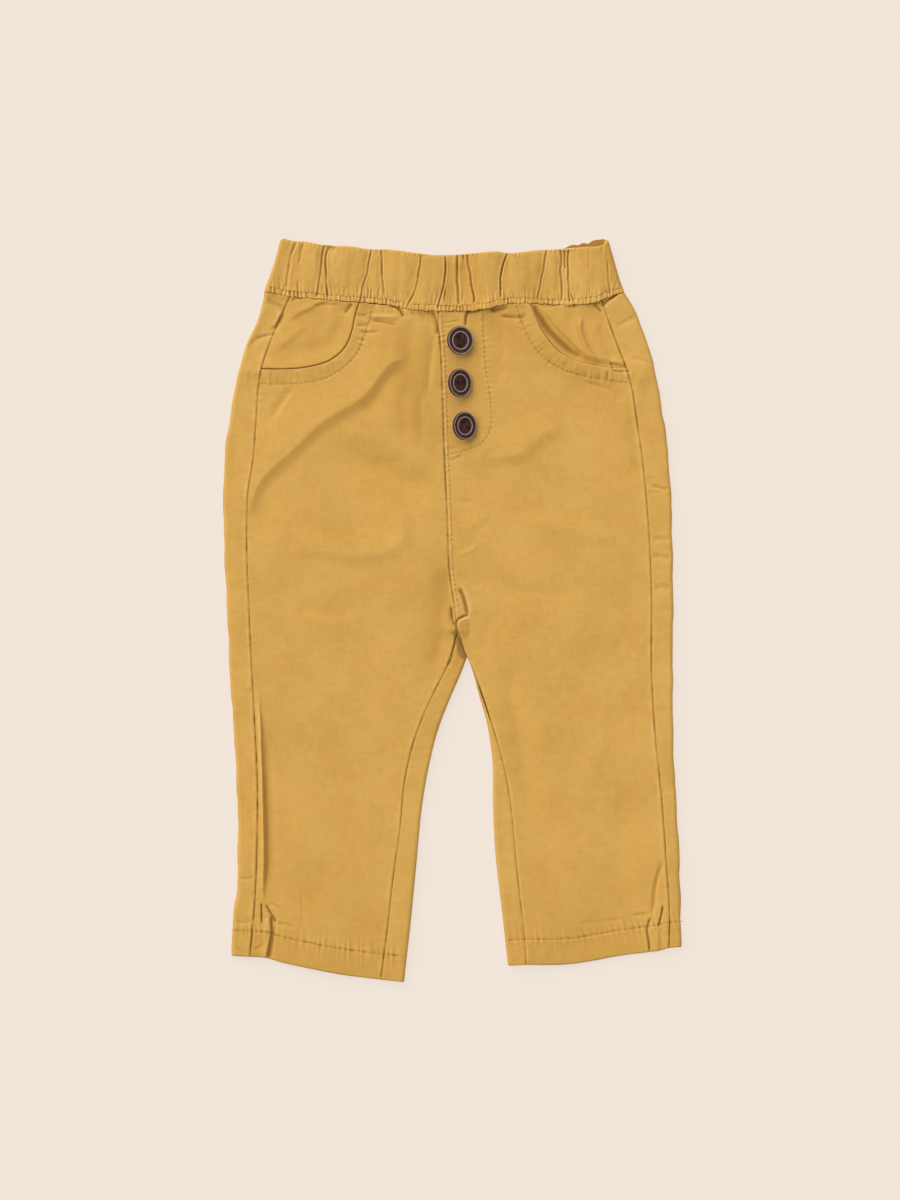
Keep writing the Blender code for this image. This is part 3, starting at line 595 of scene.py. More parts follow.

# %% [markdown]
# The sharper creases are drawn one by one, like the folds. Deep places see little light, so a second
# table paints shade there as darker dye colour; it also makes the cloth darker towards the hems.

# %% Creases and painted shade, drawn one by one
CREASES = (
    # Under the waistband, from the right hip to the fly
    Fold(((-101, 168.5), (-97, 165.2), (-92, 162.6), (-89.6, 160)), -0.9, 2.5, 3, 0.4),
    Fold(((-87, 165.5), (-84.5, 167.4), (-80, 167.6)), -0.8, 1.5, 1.5, 0.6),
    Fold(((-60, 163.6), (-70, 164.1), (-76, 162.9)), -0.5, 1.2, 1.6, 0.5),
    Fold(((-53.6, 165.6), (-55.6, 162.6), (-58.6, 159)), -1.1, 1.4, 2.6, 0.6),
    Fold(((-44.5, 164.8), (-42.4, 164.6), (-40.4, 163.6)), -0.8, 1.0, 1.0, 0.6),
    Fold(((-46, 156.2), (-38, 154.8), (-29, 152.8)), -0.8, 2.6, 1.4, 0.6),
    Fold(((-45, 158.2), (-36, 158), (-28, 157.6)), 0.7, 1.8, 1.8, 0.4),
    Fold(((-51.8, 158.8), (-48, 158.4), (-45, 158.8)), -0.7, 1.1, 1.1),
    Fold(((-52, 153.4), (-48, 153), (-44.5, 153.4)), -0.8, 1.2, 1.2),
    Fold(((-51.4, 150.1), (-46, 149.2), (-38, 149.8)), -0.7, 1.3, 1.3),
    Fold(((-52.6, 145.6), (-49, 144.9), (-46, 145.2)), -0.35, 1.4, 1.4),
    Fold(((-34.5, 163.4), (-30, 162.6), (-27.8, 160.4), (-26, 156.6)), -1.3, 1.1, 2.0, 0.6, 0.2),
    Fold(((-26.5, 156), (-22, 156.8), (-18.5, 153.6), (-12, 152.4)), 0.3, 2.5, 4.0, 0.1),
    Fold(((-19, 160.5), (-17, 158.6), (-14, 156)), -0.5, 1.6, 1.4, 0.4),
    Fold(((-12.5, 160.6), (-10.6, 159), (-9.3, 156.6), (-8.4, 153), (-8.2, 147)), -1.1, 1.0, 2.4, 0.6, 0.2),
    Fold(((-38, 164.6), (-37, 162), (-37.5, 159.5)), -0.35, 1.2, 1.2),
    Fold(((-22, 161.4), (-21.6, 159.6), (-20.4, 158)), -0.35, 1.0, 1.0),
    # The fly
    Fold(((-6.9, 154), (-2, 154.7), (5, 155.8)), -0.45, 1.0, 1.0, 0.6),
    Fold(((-6.8, 151.8), (-3, 152.1), (1, 152.4)), -0.25, 0.9, 0.9),
    Fold(((17, 161.8), (11, 161.3), (7.8, 159.8), (6.9, 157), (6.7, 151.6)), -1.2, 1.6, 1.0, 0.6, 0.15),
    Fold(((-4, 86.4), (0, 86.8), (5, 87.4)), -0.4, 0.9, 0.9, 0.5),
    Fold(((-3.6, 80.6), (0, 81.2), (6, 83.6)), -0.7, 0.9, 0.9, 0.6, 0.15),
    Fold(((-3.4, 82.4), (0.5, 83), (5, 85)), 0.3, 0.8, 0.8, 0.5),
    Fold(((0, 58.4), (6, 58), (12, 58.6)), -0.3, 1.6, 1.2),
    Fold(((1, 28.6), (8, 31.4), (15, 35.6)), 0.35, 2, 1.8),
    Fold(((1, 52), (5, 51.6), (8, 52)), -0.2, 1.1, 1.1),
    Fold(((1, 46.4), (5, 46), (8, 46.6)), -0.2, 1.1, 1.1),
    # Under the waistband, from the fly to the left hip
    Fold(((20.6, 163.8), (21.4, 161.6), (23, 160)), -0.5, 1.0, 1.2, 0.5),
    Fold(((18, 160.9), (25, 161.4), (31, 162.8)), -0.7, 1.6, 2.8, 0.4),
    Fold(((24, 158.2), (31, 157.2), (41, 157.6)), -0.8, 2.6, 1.8, 0.4),
    Fold(((58, 163.8), (62, 162.8), (66.8, 163.8)), -0.5, 1.0, 1.2, 0.5),
    Fold(((64.6, 164.6), (65.4, 163.6), (66.2, 162.4)), -0.8, 0.9, 0.9, 0.6),
    Fold(((75.6, 165), (77.6, 162.7), (80.4, 160.2)), -1.3, 1.0, 1.3, 0.6, 0.2),
    Fold(((89.5, 170.2), (85, 167.6), (81.6, 165), (79.4, 163.2)), -1.5, 1.2, 1.4, 0.6, 0.15),
    Fold(((46, 164), (51, 163), (56, 163.4)), -0.4, 1.2, 1.2),
    # Hips, strips and pocket corners
    Fold(((-106, 146), (-100, 147.5), (-94.6, 148.6)), -0.8, 1.8, 1.4, 0.6, 0.2),
    Fold(((-111, 140.5), (-107, 144.6), (-102, 147)), -0.5, 3, 3),
    Fold(((-98.5, 150), (-95, 152.6), (-92, 157), (-90, 161.4)), -1.0, 1.6, 3.2, 0.4),
    Fold(((96, 135.6), (101, 134.6), (107, 132)), -0.5, 1.3, 1.6, 0.5),
    Fold(((87, 152.6), (92, 155), (99.5, 159.4)), -0.5, 2.0, 2.6, 0.3),
    Fold(((85.2, 133.4), (85.5, 131), (86, 128.6)), -0.9, 0.9, 1.2, 0.6, 0.15),
    Fold(((86, 128.5), (90, 128.1), (95.6, 128.5)), -0.9, 0.8, 1.0, 0.6, 0.1),
    Fold(((70, 122.8), (78, 120.6), (87, 117.2)), -0.45, 1.4, 1.2, 0.5),
    Fold(((83.4, 128.4), (83, 126), (83.6, 123.4)), -0.5, 1.2, 1.2),
    Fold(((105.8, 66.8), (110, 66), (116.4, 64.2)), -0.8, 1.6, 1.4, 0.5),
    Fold(((104.4, 62.6), (108, 63.2), (112, 63.4)), -0.35, 1.2, 1.2),
    Fold(((107, 38), (112, 38.2), (118, 37.2)), -0.5, 2.5, 2.5),
    Fold(((107, 29.4), (112, 28.6), (118, 27)), -0.6, 2.5, 3),
    Fold(((108, 11), (113, 12), (118, 10)), -0.5, 3, 3),
    # Crotch
    Fold(((-1, 2.4), (-0.9, -1.4), (-0.1, -5.6), (1.7, -9.4)), -1.2, 0.9, 0.8, 0.5, 0.2),
    Fold(((0.2, 7), (0.9, 1), (1, -5)), 0.5, 0.8, 0.8, 0.3),
    Fold(((3.2, 12), (5.2, 8.6), (6.8, 4), (7.7, 0), (8.3, -3.2)), -1.8, 0.7, 2.6, 0.6, 0.15),
    Fold(((8.5, -2.8), (5.4, -3.8), (3, -5.2), (1.6, -7.6)), -1.5, 0.8, 1.6, 0.6, 0.1),
    Fold(((3.6, -6.4), (5.6, -5.4), (9.2, -4.4)), 0.6, 0.9, 1.0, 0.4),
    Fold(((8.4, -6), (8.8, -11), (8.2, -16)), -0.5, 2.0, 2.6),
    Fold(((2.6, -11.2), (1.2, -17), (0.4, -21), (-0.6, -26), (-3, -31)), -0.65, 0.7, 0.8, 0.5, 0.1),
    # Right leg: the pinch at the hem and the flap beside it
    Fold(((-102.9, -157), (-102.8, -163), (-102.6, -169)), -1.3, 0.8, 0.8, 0.5, 0.15),
    Fold(((-100.4, -158), (-98.6, -161.6), (-96.6, -165), (-94.4, -168.6)), -1.0, 0.9, 2.0, 0.5, 0.15),
    Fold(((-99.6, -157.6), (-96, -158.6), (-91, -161.4)), -0.5, 1.4, 1.4, 0.5),
    Fold(((-96, -169.4), (-91, -169), (-85, -171)), -0.5, 1.6, 1.4, 0.5),
    Fold(
        ((-99.4, -166), (-98.9, -172), (-99.3, -178), (-100.2, -184), (-100.9, -190)),
        0.5, 1.0, 5, 0.3, 0.05,
    ),
    Fold(
        ((-98.2, -165), (-97.7, -172), (-98.1, -178), (-99, -184), (-99.8, -190)),
        -1.1, 4.0, 0.9, 0.4, 0.05,
    ),
    Fold(((-107.5, -183.6), (-104, -181.4), (-100.6, -178.8)), -0.4, 1.4, 1.2, 0.4),
    Fold(((-117, -180.6), (-115, -182.4), (-112.6, -184.6)), -0.4, 1.3, 1.3, 0.4),
    Fold(((-116.6, -143.6), (-111, -144.4), (-106, -143.2)), -0.6, 1.3, 1.1, 0.6, 0.2),
    Fold(((-117, -167), (-112, -168.2), (-107, -166.8)), -0.4, 1.6, 1.4),
    Fold(((-81.4, -148), (-80.8, -160), (-80.8, -172)), -0.25, 1.2, 1.6),
    # Left leg, at the hem
    Fold(((112.9, -158.6), (112.3, -163), (111.4, -167), (110.2, -171.4)), -1.4, 1.0, 0.9, 0.6, 0.15),
    Fold(
        ((106.6, -165), (104.9, -169), (104.6, -172), (105.4, -178), (106.1, -186)),
        -1.0, 1.6, 1.0, 0.7, 0.08,
    ),
    Fold(((111.6, -171), (111.8, -178), (111.4, -185)), -0.5, 1.8, 1.8, 0.3, 0.05),
    Fold(((96, -164.4), (101, -163.6), (106, -163.4)), -0.5, 1.8, 1.6, 0.4),
    Fold(((66, -168.6), (80, -167.6), (95, -165)), -0.25, 2.0, 1.8),
)
# Painted shade in deep places whose bottom sees little light, and a darker tone towards the hems: (path,
# width, amount)
PAINTED_SHADE_AND_TONE = (
    # The pleat along the right side seam, and the flap that it ends in
    (((-102.6, -60), (-101.6, -100), (-101.2, -130), (-101.8, -158), (-102.4, -178)), 1.3, 0.13),
    (((-101.6, -80), (-100.2, -130), (-99.6, -162)), 3.2, 0.14),
    (((-97.6, -165), (-96.6, -172), (-97, -180), (-98.6, -190)), 2.4, 0.13),
    (((-99.6, -160), (-97.4, -164), (-95.6, -168)), 1.6, 0.14),
    # Crotch
    (((3.8, 12), (5.4, 6.5), (6.4, 2), (7, -3)), 1.8, 0.2),
    (((5.4, -5.5), (5.8, -11), (6.6, -18)), 2.8, 0.3),
    (((1.6, -7.5), (2.4, -12), (3.0, -16.5)), 0.9, 0.5),
    (((-0.4, -8), (2.2, -15), (4.6, -21.5), (7.6, -30)), 1.7, 0.5),
    (((1.2, -8), (2.4, -15), (2.6, -21), (0.6, -36)), 3.0, 0.3),
    (((-5, 40), (-8.4, 4), (-9.2, -12), (-9, -44)), 8.0, 0.23),
    # The long fold's shaded side, and the hollow at its upper end
    (tuple((x + 1.6, y - 2.0) for x, y in FOLDS[0].path[4:]), 3.2, 0.15),
    (((-25, 133), (-32, 125), (-40, 115), (-50, 104)), 8.0, 0.16),
    # Under the waistband, on the right
    (((-12, 156), (-20, 135), (-22, 108), (-18, 84)), 10.0, 0.25),
    (((-42, 147), (-33, 140), (-27, 128)), 6.0, 0.08),
    (((-31, 163), (-28.5, 161), (-27, 157)), 1.8, 0.16),
    (((-28.5, 156), (-27.5, 148), (-28.5, 138)), 3.2, 0.1),
    (((-46, 156), (-36, 152.5), (-26, 150)), 2.2, 0.16),
    (((-62, 164.5), (-50, 162.6), (-38, 163)), 2.0, 0.2),
    (((-24, 161), (-17, 159.5), (-10, 159.5)), 1.8, 0.2),
    (((-100, 172), (-94, 168.5), (-89, 166.5)), 1.8, 0.24),
    (((-62, 90), (-44, 84), (-24, 75), (-4, 66)), 6.0, 0.17),
    # Under the waistband, on the left
    (((18, 160.5), (27, 161), (36, 163)), 3.0, 0.13),
    (((-2, 158), (22, 156), (46, 148)), 9.0, 0.18),
    (((39, 152), (46, 141), (58, 130.5), (78, 126), (94, 125)), 5.0, 0.22),
    (((60, 124), (78, 121), (92, 118)), 5.0, 0.10),
    (((76, 166), (83, 168.4), (90, 170.5)), 1.3, 0.22),
    # In the left pocket opening: the valley along it, and two folds
    (((43.5, 168), (46.5, 159.5), (51, 151.5), (58.5, 142.5), (68, 136.5)), 6.5, 0.11),
    (((46.4, 165), (51.6, 157), (61, 146.4), (69.6, 137.8), (74, 133.6)), 0.5, 0.2),
    (((67.6, 160), (66.8, 152), (69.8, 143), (76.6, 134)), 0.7, 0.2),
    # Darker towards the hems
    (((-150, -200), (-75, -202), (0, -200)), 62.0, 0.13),
    (((0, -196), (70, -198), (150, -196)), 62.0, 0.12),
)


def add_darkening(path, width, amount):
    """Paint the cloth darker along a path; this is painted shade, except for the darker tone towards the
    hems.
    """
    window, distance, along, length = painted_shade_and_tone.beside_line(path, 3 * width, FOLD_STEP)
    painted_shade_and_tone.z[window] += amount * bell(distance, width) * both_ends(along, length, length / 4)


for crease in CREASES:
    add_fold(detail, crease, painted_shade_and_tone)
for row in PAINTED_SHADE_AND_TONE:
    add_darkening(*row)
print(len(CREASES), "creases,", len(PAINTED_SHADE_AND_TONE), "sheltered places")

# %% [markdown]
# The elastic draws the waist in, so the panels bulge where they leave the band and hang from it
# in short gathers that die out within a finger's width. The strips of back panel that fold round
# the legs have faint cross-wrinkles, as cloth has where it turns a corner. The turned-up hem and
# the cloth beside a pocket opening ripple a little. All of these are seeded waves with a mask.

# %% Waves in the cloth
GATHER, GATHER_REACH = 0.26, 7.0
BULGE, BULGE_LIFT, BULGE_REACH = 0.35, 0.4, 2.2
UNDER_BAND = 3.0  # the gathers run on under the band by this much
STRIP_WRINKLE, STRIP_WIDTH = 0.07, 9.0
ROPING, ROPING_PLACE, ROPING_WIDTH = 0.11, 9.0, 8.0  # twisted ridges across the turned-up hem
FACING_WIDTH = 10.0  # the doubled cloth along a pocket opening
FACING_RIPPLE, FACING_MOTTLE = 0.09, 0.05
FINE_WAVES = ((0.028, 23, 4.0, 7.0), (0.014, 24, 1.6, 1.6))
FLAT_EDGE = 0.35  # what is left of the finest relief at a leg's folded edge
CALM_WIDTH = 3.0


def add_facing_waves():
    """Ripples in the doubled cloth along the pocket openings."""
    mottle = undulation(28, 0.9, 0.9)
    for side, edges in EDGES.items():
        path = edges["mouth"].points
        window, x, y = detail.around(path, FACING_WIDTH)
        distance, along = beside(path, x, y)
        inward = -distance * LEGS[side].sign
        on_facing = smoothstep((inward - 0.3) / 1.2) * smoothstep((FACING_WIDTH - inward) / 1.5)
        ripples = np.interp(along, np.arange(-5, 125, 1.0), np.random.default_rng(27).standard_normal(130))
        detail.z[window] += (FACING_RIPPLE * ripples + FACING_MOTTLE * mottle[window]) * on_facing


def add_cloth_waves():
    """Gathers and bulges under the band, wrinkles on the strips, ridges across the hems."""
    below_band = band_seam(plan_x) - plan_y
    hanging = np.maximum(below_band, 0)
    on_panels = below_band > -UNDER_BAND
    gathers = undulation(21, 1.6, 8.0) * np.exp(-hanging / GATHER_REACH)
    detail.z += GATHER * gathers * on_panels
    near_band = np.exp(-hanging / BULGE_REACH)
    bulges = undulation(29, 2.6, 30.0) * near_band
    detail.z += (BULGE * bulges + BULGE_LIFT * near_band) * on_panels
    detail.z += STRIP_WRINKLE * bell(edge_room, STRIP_WIDTH) * undulation(22, 8.0, 1.8)
    over_hem = plan_y - np.where(plan_x < 0, hem_line("right", plan_x), hem_line("left", plan_x))
    roping = undulation(25, 2.2, 3.0) * bell(over_hem - ROPING_PLACE, ROPING_WIDTH)
    detail.z += ROPING * roping


add_cloth_waves()
add_facing_waves()
detail.z += rolling(FINE_WAVES)
detail.z *= FLAT_EDGE + (1 - FLAT_EDGE) * smoothstep(edge_room / CALM_WIDTH)

surface = HeightMap()
surface.z = folds.z + detail.z
print("surface from", round(surface.z.min(), 2), "to", round(surface.z.max(), 2), "mm")

# %% [markdown]
# Dye wears off first where the cloth stands proud, along seams, folds and pocket edges, so those
# places are paler. The furrows are painted darker, as painted shade. The difference between the
# surface and a smoothed copy of it says both, and the painted shade map is taken off it: 0.5 is
# untouched, 1 worn, 0 the darkest painted shade.

# %% Wear and painted shade, from the surface itself
FOLD_SHARE = 0.3  # broad folds are hardly worn, small creases are
UNWORN, MOST_WORN = 0.5, 0.85
PROUD_SIZE = 1.6  # what stands proud is told from the surface blurred by this much


def wear_and_shade_where(proud, rubbed, shading):
    """Paler where the cloth stands proud, as it is rubbed, and darker where it is low, as painted shade."""
    return np.clip(UNWORN + np.where(proud > 0, rubbed, shading) * proud, 0, MOST_WORN)


relief = detail.z + FOLD_SHARE * folds.z
wear_and_shade_map = HeightMap()
# Painted shade: hollows, and the painted shade map, make the dye darker.
wear_and_shade_map.z = wear_and_shade_where(relief - blurred(relief, PROUD_SIZE, PROUD_SIZE), 1.2, 0.55) - painted_shade_and_tone.z
wear_and_shade_map.z = np.clip(wear_and_shade_map.z, 0, 1)
print("wear_and_shade", round(wear_and_shade_map.z.mean(), 3))

# %% [markdown]
# ## From a grid of points to a piece of cloth
#
# Cloth has two faces and a rim. The outer face takes a fine grid; the lining side is hidden, so
# it takes every third point only, and many-sided faces along the rim join the two. The shell is
# closed, and its faces are turned outwards by the sign of its volume.

# %% A closed wall of cloth
LINING_STEP = 3
# The hidden lining is painted dark, as painted shade where it shows through a gap.
LINING_SHADE = 0.1
SHARP_ANGLE = 70.0  # degrees; an edge sharper than this is shaded as an edge
HEM_DEEPER = 0.06  # how much darker the hem is


def worn_edge(wear_and_shade, distance, width, amount):
    """The wear and painted shade, with an edge rubbed paler by this amount over this width."""
    return np.maximum(wear_and_shade, (UNWORN + amount) * bell(distance, width))


def worn_hem(wear_and_shade, hem):
    """The hem is double and darker, but its edge is rubbed."""
    return worn_edge(wear_and_shade - HEM_DEEPER * smoothstep((HEM_DEPTH - hem) / 1.5), hem, 0.9, 0.15)


def add_object(name, data):
    """An object that holds this data, in the scene."""
    made = bpy.data.objects.new(name, data)
    bpy.context.scene.collection.objects.link(made)
    return made


def coarse(grid, tube):
    """Every third point of a grid, with its first and last rows and columns."""
    return grid[::LINING_STEP, ::LINING_STEP] if not tube else grid[::LINING_STEP, : -1 : LINING_STEP]


def quads(index):
    """Four-sided faces between the points of a grid."""
    return np.stack([index[:-1, :-1], index[:-1, 1:], index[1:, 1:], index[1:, :-1]], -1).reshape(-1, 4)


def rim_faces(run, inner_run):
    """Faces between a fine edge and the coarse edge behind it."""
    return [
        [*run[LINING_STEP * k : LINING_STEP * (k + 1) + 1], inner_run[k + 1], inner_run[k]]
        for k in range(len(inner_run) - 1)
    ]


def signed_volume(points, *face_sets):
    """Six times the volume inside these faces; less than zero if they are turned inwards."""
    total = 0.0
    for faces in face_sets:
        a, b, c, d = (points[faces[:, k]] for k in range(4))
        total += (a * np.cross(b, c)).sum() + (a * np.cross(c, d)).sum()
    return total


def cloth_wall(name, outer, inner, grain, wear_and_shade, tube=False):
    """A shell between two matching grids of points. A tube repeats its first column as its last."""
    rows, columns = outer.shape[:2]
    shown = outer[:, :-1] if tube else outer
    lining = coarse(inner, tube)
    index = np.arange(shown.shape[0] * shown.shape[1]).reshape(shown.shape[:2])
    inner_index = index.size + np.arange(lining.shape[0] * lining.shape[1]).reshape(lining.shape[:2])
    if tube:
        index = np.concatenate([index, index[:, :1]], 1)
        inner_index = np.concatenate([inner_index, inner_index[:, :1]], 1)
    faces = quads(index).tolist() + quads(inner_index)[:, ::-1].tolist()
    faces += [face[::-1] for face in rim_faces(index[0], inner_index[0])]
    faces += rim_faces(index[-1], inner_index[-1])
    if not tube:
        faces += rim_faces(index[:, 0], inner_index[:, 0])
        faces += [face[::-1] for face in rim_faces(index[:, -1], inner_index[:, -1])]
    points = np.concatenate([shown.reshape(-1, 3), lining.reshape(-1, 3)]) * MM
    if signed_volume(points, quads(index), quads(inner_index)[:, ::-1]) < 0:
        faces = [face[::-1] for face in faces]
    mesh = bpy.data.meshes.new(name)
    mesh.from_pydata(points.tolist(), [], faces)
    weave = np.concatenate([
        (grain[:, :-1] if tube else grain).reshape(-1, 2), coarse(grain, tube).reshape(-1, 2),
    ])
    loops = np.empty(len(mesh.loops), np.int32)
    mesh.loops.foreach_get("vertex_index", loops)
    mesh.uv_layers.new(name="weave").data.foreach_set("uv", weave[loops].ravel())
    # Per point: rubbed wear and painted shade, which the twill reads; the lining is painted dark.
    rub_and_shade = np.concatenate([
        (wear_and_shade[:, :-1] if tube else wear_and_shade).ravel(), np.full(lining.shape[0] * lining.shape[1], LINING_SHADE),
    ])
    mesh.attributes.new("wear_and_shade", "FLOAT", "POINT").data.foreach_set("value", rub_and_shade.astype(np.float32))
    mesh.shade_smooth()
    mesh.set_sharp_from_angle(angle=math.radians(SHARP_ANGLE))
    print(f"{name}: {rows} x {columns} points, {len(faces)} faces")
    return add_object(name, mesh)


# %% Rows and columns: closer together towards the edges, where the detail is
CROWDED = 0.16  # this share of a panel's width at each side has twice as many columns


def paced_shares(count):
    """Shares from 0 to 1, twice as close together near both ends."""
    fine = np.linspace(0, 1, 500)
    pace = np.cumsum(1 + smoothstep((np.abs(fine - 0.5) - 0.5 + 1.4 * CROWDED) / (0.8 * CROWDED)))
    return np.interp(np.linspace(0, 1, count), (pace - pace[0]) / (pace[-1] - pace[0]), fine)


EDGE_STEPS = np.array([0.0, 0.22, 0.5, 0.85, 1.3, 1.9, 2.6])  # places of the first rows in from an edge


def whole_count(count):
    """The next count that leaves one over when divided by the lining's step."""
    return count + (1 - count) % LINING_STEP


def graded(length, step):
    """Shares of a length for a line of points, close together at both ends."""
    count = whole_count(round((length - 2 * EDGE_STEPS[-1]) / step) + 2 * len(EDGE_STEPS) - 1)
    middle = np.linspace(EDGE_STEPS[-1], length - EDGE_STEPS[-1], count - 2 * len(EDGE_STEPS) + 2)
    return np.concatenate([EDGE_STEPS[:-1], middle, length - EDGE_STEPS[-2::-1]]) / length


def paced(length, places, steps):
    """Places along a length whose spacing follows a table of steps, with whole_count of them."""
    along = np.linspace(0, length, 4000)
    pace = np.cumsum(1 / np.interp(along, places, steps))
    pace = (pace - pace[0]) / (pace[-1] - pace[0])
    count = whole_count(int((1 / np.interp(along, places, steps)).mean() * length))
    return np.interp(np.linspace(0, 1, count), pace, along)


def graded_between(start, end, count):
    """Places from start to end for each row, close together at both ends."""
    width = np.abs(end - start)[:, None]
    middle = paced_shares(count - 2 * len(EDGE_STEPS) + 2)
    middle = EDGE_STEPS[-1] + (width - 2 * EDGE_STEPS[-1]) * middle
    near = np.broadcast_to(EDGE_STEPS[:-1], (len(start), len(EDGE_STEPS) - 1))
    run = np.concatenate([near, middle, width - near[:, ::-1]], 1)
    return start[:, None] + np.sign(end - start)[:, None] * run


class Rungs:
    """The rows of a panel in plan: straight from one edge to the other, but for those near the
    waistband and the hem, which ease on to their lines."""

    def __init__(self, side, start, end, gap=BAND_GAP / 2):
        self.start, self.end = start, end
        self.lines = (
            (0, lambda x: band_seam(x) - gap),
            (-1, lambda x: hem_line(side, x)),
        )

    def straight(self, row, x):
        """Height of a row at this place, as a straight line."""
        x0, y0 = np.moveaxis(self.start[row], -1, 0)
        x1, y1 = np.moveaxis(self.end[row], -1, 0)
        return y0 + (y1 - y0) * (x - x0) / (x1 - x0)

    def height(self, row, x):
        """Height of a row at this place, eased on to the seam and the hem."""
        plain = self.straight(row, x)
        shift = np.zeros_like(plain)
        for last, line in self.lines:
            end_row = self.straight(np.full_like(row, last), x)
            fade = np.clip(1 - np.abs(plain - end_row) / LINE_REACH, 0, 1)
            shift = shift + (line(x) - end_row) * fade
        return plain + shift

    def heights(self, x):
        """The same for a whole grid of places, one row of it for each row of the panel."""
        return self.height(np.broadcast_to(np.arange(len(x))[:, None], x.shape), x)

    def meet(self, edge, near, offset):
        """Where each row crosses an edge, moved sideways by offset. near is a first guess."""
        row = np.arange(len(self.start))
        x = near.copy()
        for _ in range(6):
            x = edge.across(self.height(row, x)) + offset
        return x


def rolled(distance, radius):
    """How far a rounded edge has come down at this distance in from it."""
    inside = np.clip(1 - distance / radius, 0, 1)
    return radius * (1 - np.sqrt(1 - inside**2))


def hem_wall(side, x, y):
    """The cloth, with the hem's second layer at the bottom."""
    over_hem = y - hem_line(side, x)
    return CLOTH + HEM_EXTRA * smoothstep((HEM_DEPTH + 1.2 - over_hem) / 1.2)


def along_grain(side, x, y):
    """Places in the weave: millimetres across and along the warp, which follows the leg."""
    turn = math.radians(LEGS[side].grain)
    c, s = math.cos(turn), math.sin(turn)
    return np.stack([x * c + y * s, y * c - x * s], -1)


# %% [markdown]
# ## Shader maths as Python
#
# A material is a graph of nodes, and a formula written as nodes is hard to read. The wrapper
# below lets an expression such as `0.5 + 0.5 * wave` build its Math nodes itself. Every other kind
# of node comes from `Recipe.node`, which takes the node's settings first and then its inputs.

# %% A wrapped socket, and a recipe for a material
OBJECT_SPACE = 3  # the output of a texture coordinate node that gives an object's own coordinates


class Value:
    """An output socket that can be used in arithmetic."""

    def __init__(self, recipe, socket):
        self.recipe, self.socket = recipe, socket

    def maths(self, operation, *inputs):
        return self.recipe.node("ShaderNodeMath", {"operation": operation}, dict(enumerate(inputs)))

    def __add__(self, other):
        return self.maths("ADD", self, other)

    def __sub__(self, other):
        return self.maths("SUBTRACT", self, other)

    def __rsub__(self, other):
        return self.maths("SUBTRACT", other, self)

    def __mul__(self, other):
        return self.maths("MULTIPLY", self, other)

    def __truediv__(self, other):
        return self.maths("DIVIDE", self, other)

    def __abs__(self):
        return self.maths("ABSOLUTE", self)

    __radd__, __rmul__ = __add__, __mul__

    def wave(self):
        """A sine that runs from 0 to 1, once for each whole number."""
        return 0.5 + 0.5 * self.maths("SINE", self * (2 * math.pi))

    def between(self, low, high, curve="SMOOTHSTEP"):
        """0 below low, 1 above high, and smooth in between, or straight if the curve is LINEAR."""
        return self.recipe.node(
            "ShaderNodeMapRange", {"interpolation_type": curve},
            {"Value": self, "From Min": low, "From Max": high},
        )


class Recipe:
    """A material in the making."""

    def __init__(self, name, **constants):
        self.material = bpy.data.materials.new(name)
        self.material.use_nodes = True
        self.tree = self.material.node_tree
        self.shader = self.tree.nodes["Principled BSDF"]
        for socket, value in constants.items():
            self.shader.inputs[socket.replace("_", " ")].default_value = value

    def set(self, socket, value):
        if isinstance(value, Value):
            self.tree.links.new(value.socket, socket)
        else:
            socket.default_value = value

    def node(self, kind, settings=None, inputs=None, output=0):
        made = self.tree.nodes.new(kind)
        for name, value in (settings or {}).items():
            setattr(made, name, value)
        for name, value in (inputs or {}).items():
            self.set(made.inputs[name], value)
        return Value(self, made.outputs[output])

    def mix(self, factor, a, b, blend="MIX"):
        """Two colours, mixed."""
        return self.node(
            "ShaderNodeMix", {"data_type": "RGBA", "blend_type": blend},
            {0: factor, 6: a, 7: b}, output=2,
        )

    def noise(self, place, size, detail=2.0, roughness=0.5, stretch=(1, 1, 1)):
        """Soft noise from 0 to 1 whose blotches are about this size, in the units of place."""
        scaled = self.node(
            "ShaderNodeVectorMath", {"operation": "MULTIPLY"},
            {0: place, 1: tuple(1 / (size * s) for s in stretch)},
        )
        return self.node(
            "ShaderNodeTexNoise", None,
            {"Vector": scaled, "Scale": 1.0, "Detail": detail, "Roughness": roughness},
        )

    def bump(self, strength, distance, height):
        """A normal that follows this height, over a distance in metres."""
        inputs = {"Strength": strength, "Distance": distance, "Height": height}
        return self.node("ShaderNodeBump", None, inputs)

    def finish(self, **sockets):
        for name, value in sockets.items():
            self.set(self.shader.inputs[name.replace("_", " ")], value)
        return self.material


# %% [markdown]
# ## Mustard twill
#
# Twill is woven so that each weft passes over two warps and steps along by one, which draws fine
# diagonal ribs. Here they are half a millimetre apart, too fine for geometry, so they are a bump.
# Garment dye takes unevenly: slubs in the yarn, cloudy patches a few centimetres wide, and worn
# places that go paler. Hollows, creases and seams are also painted darker, as painted shade. All of
# that is colour, and a constant sheen gives the soft nap.

# %% The dye and the weave
DYE = (0.708, 0.411, 0.103, 1)
# Deeper dye for the random tone, and also the colour of painted shade in hollows
DYE_DEEP_AND_SHADE = (0.565, 0.300, 0.056, 1)
DYE_WORN = (0.780, 0.530, 0.205, 1)
CREASE_SHADE_COLOUR = (0.290, 0.145, 0.028, 1)  # painted shade at the bottom of a crease
CREASE_SHADE_BELOW = 0.26  # below this value the painted crease shade sets in
RIB = 0.55  # distance between two ribs of the twill, in millimetres
RIB_ACROSS, RIB_ALONG = 0.62, 0.78  # the ribs' slant
YARN = 0.42  # distance between two weft yarns
BUMP = 0.00013  # height of the ribs, in metres
FINE_BUMP = 0.0001


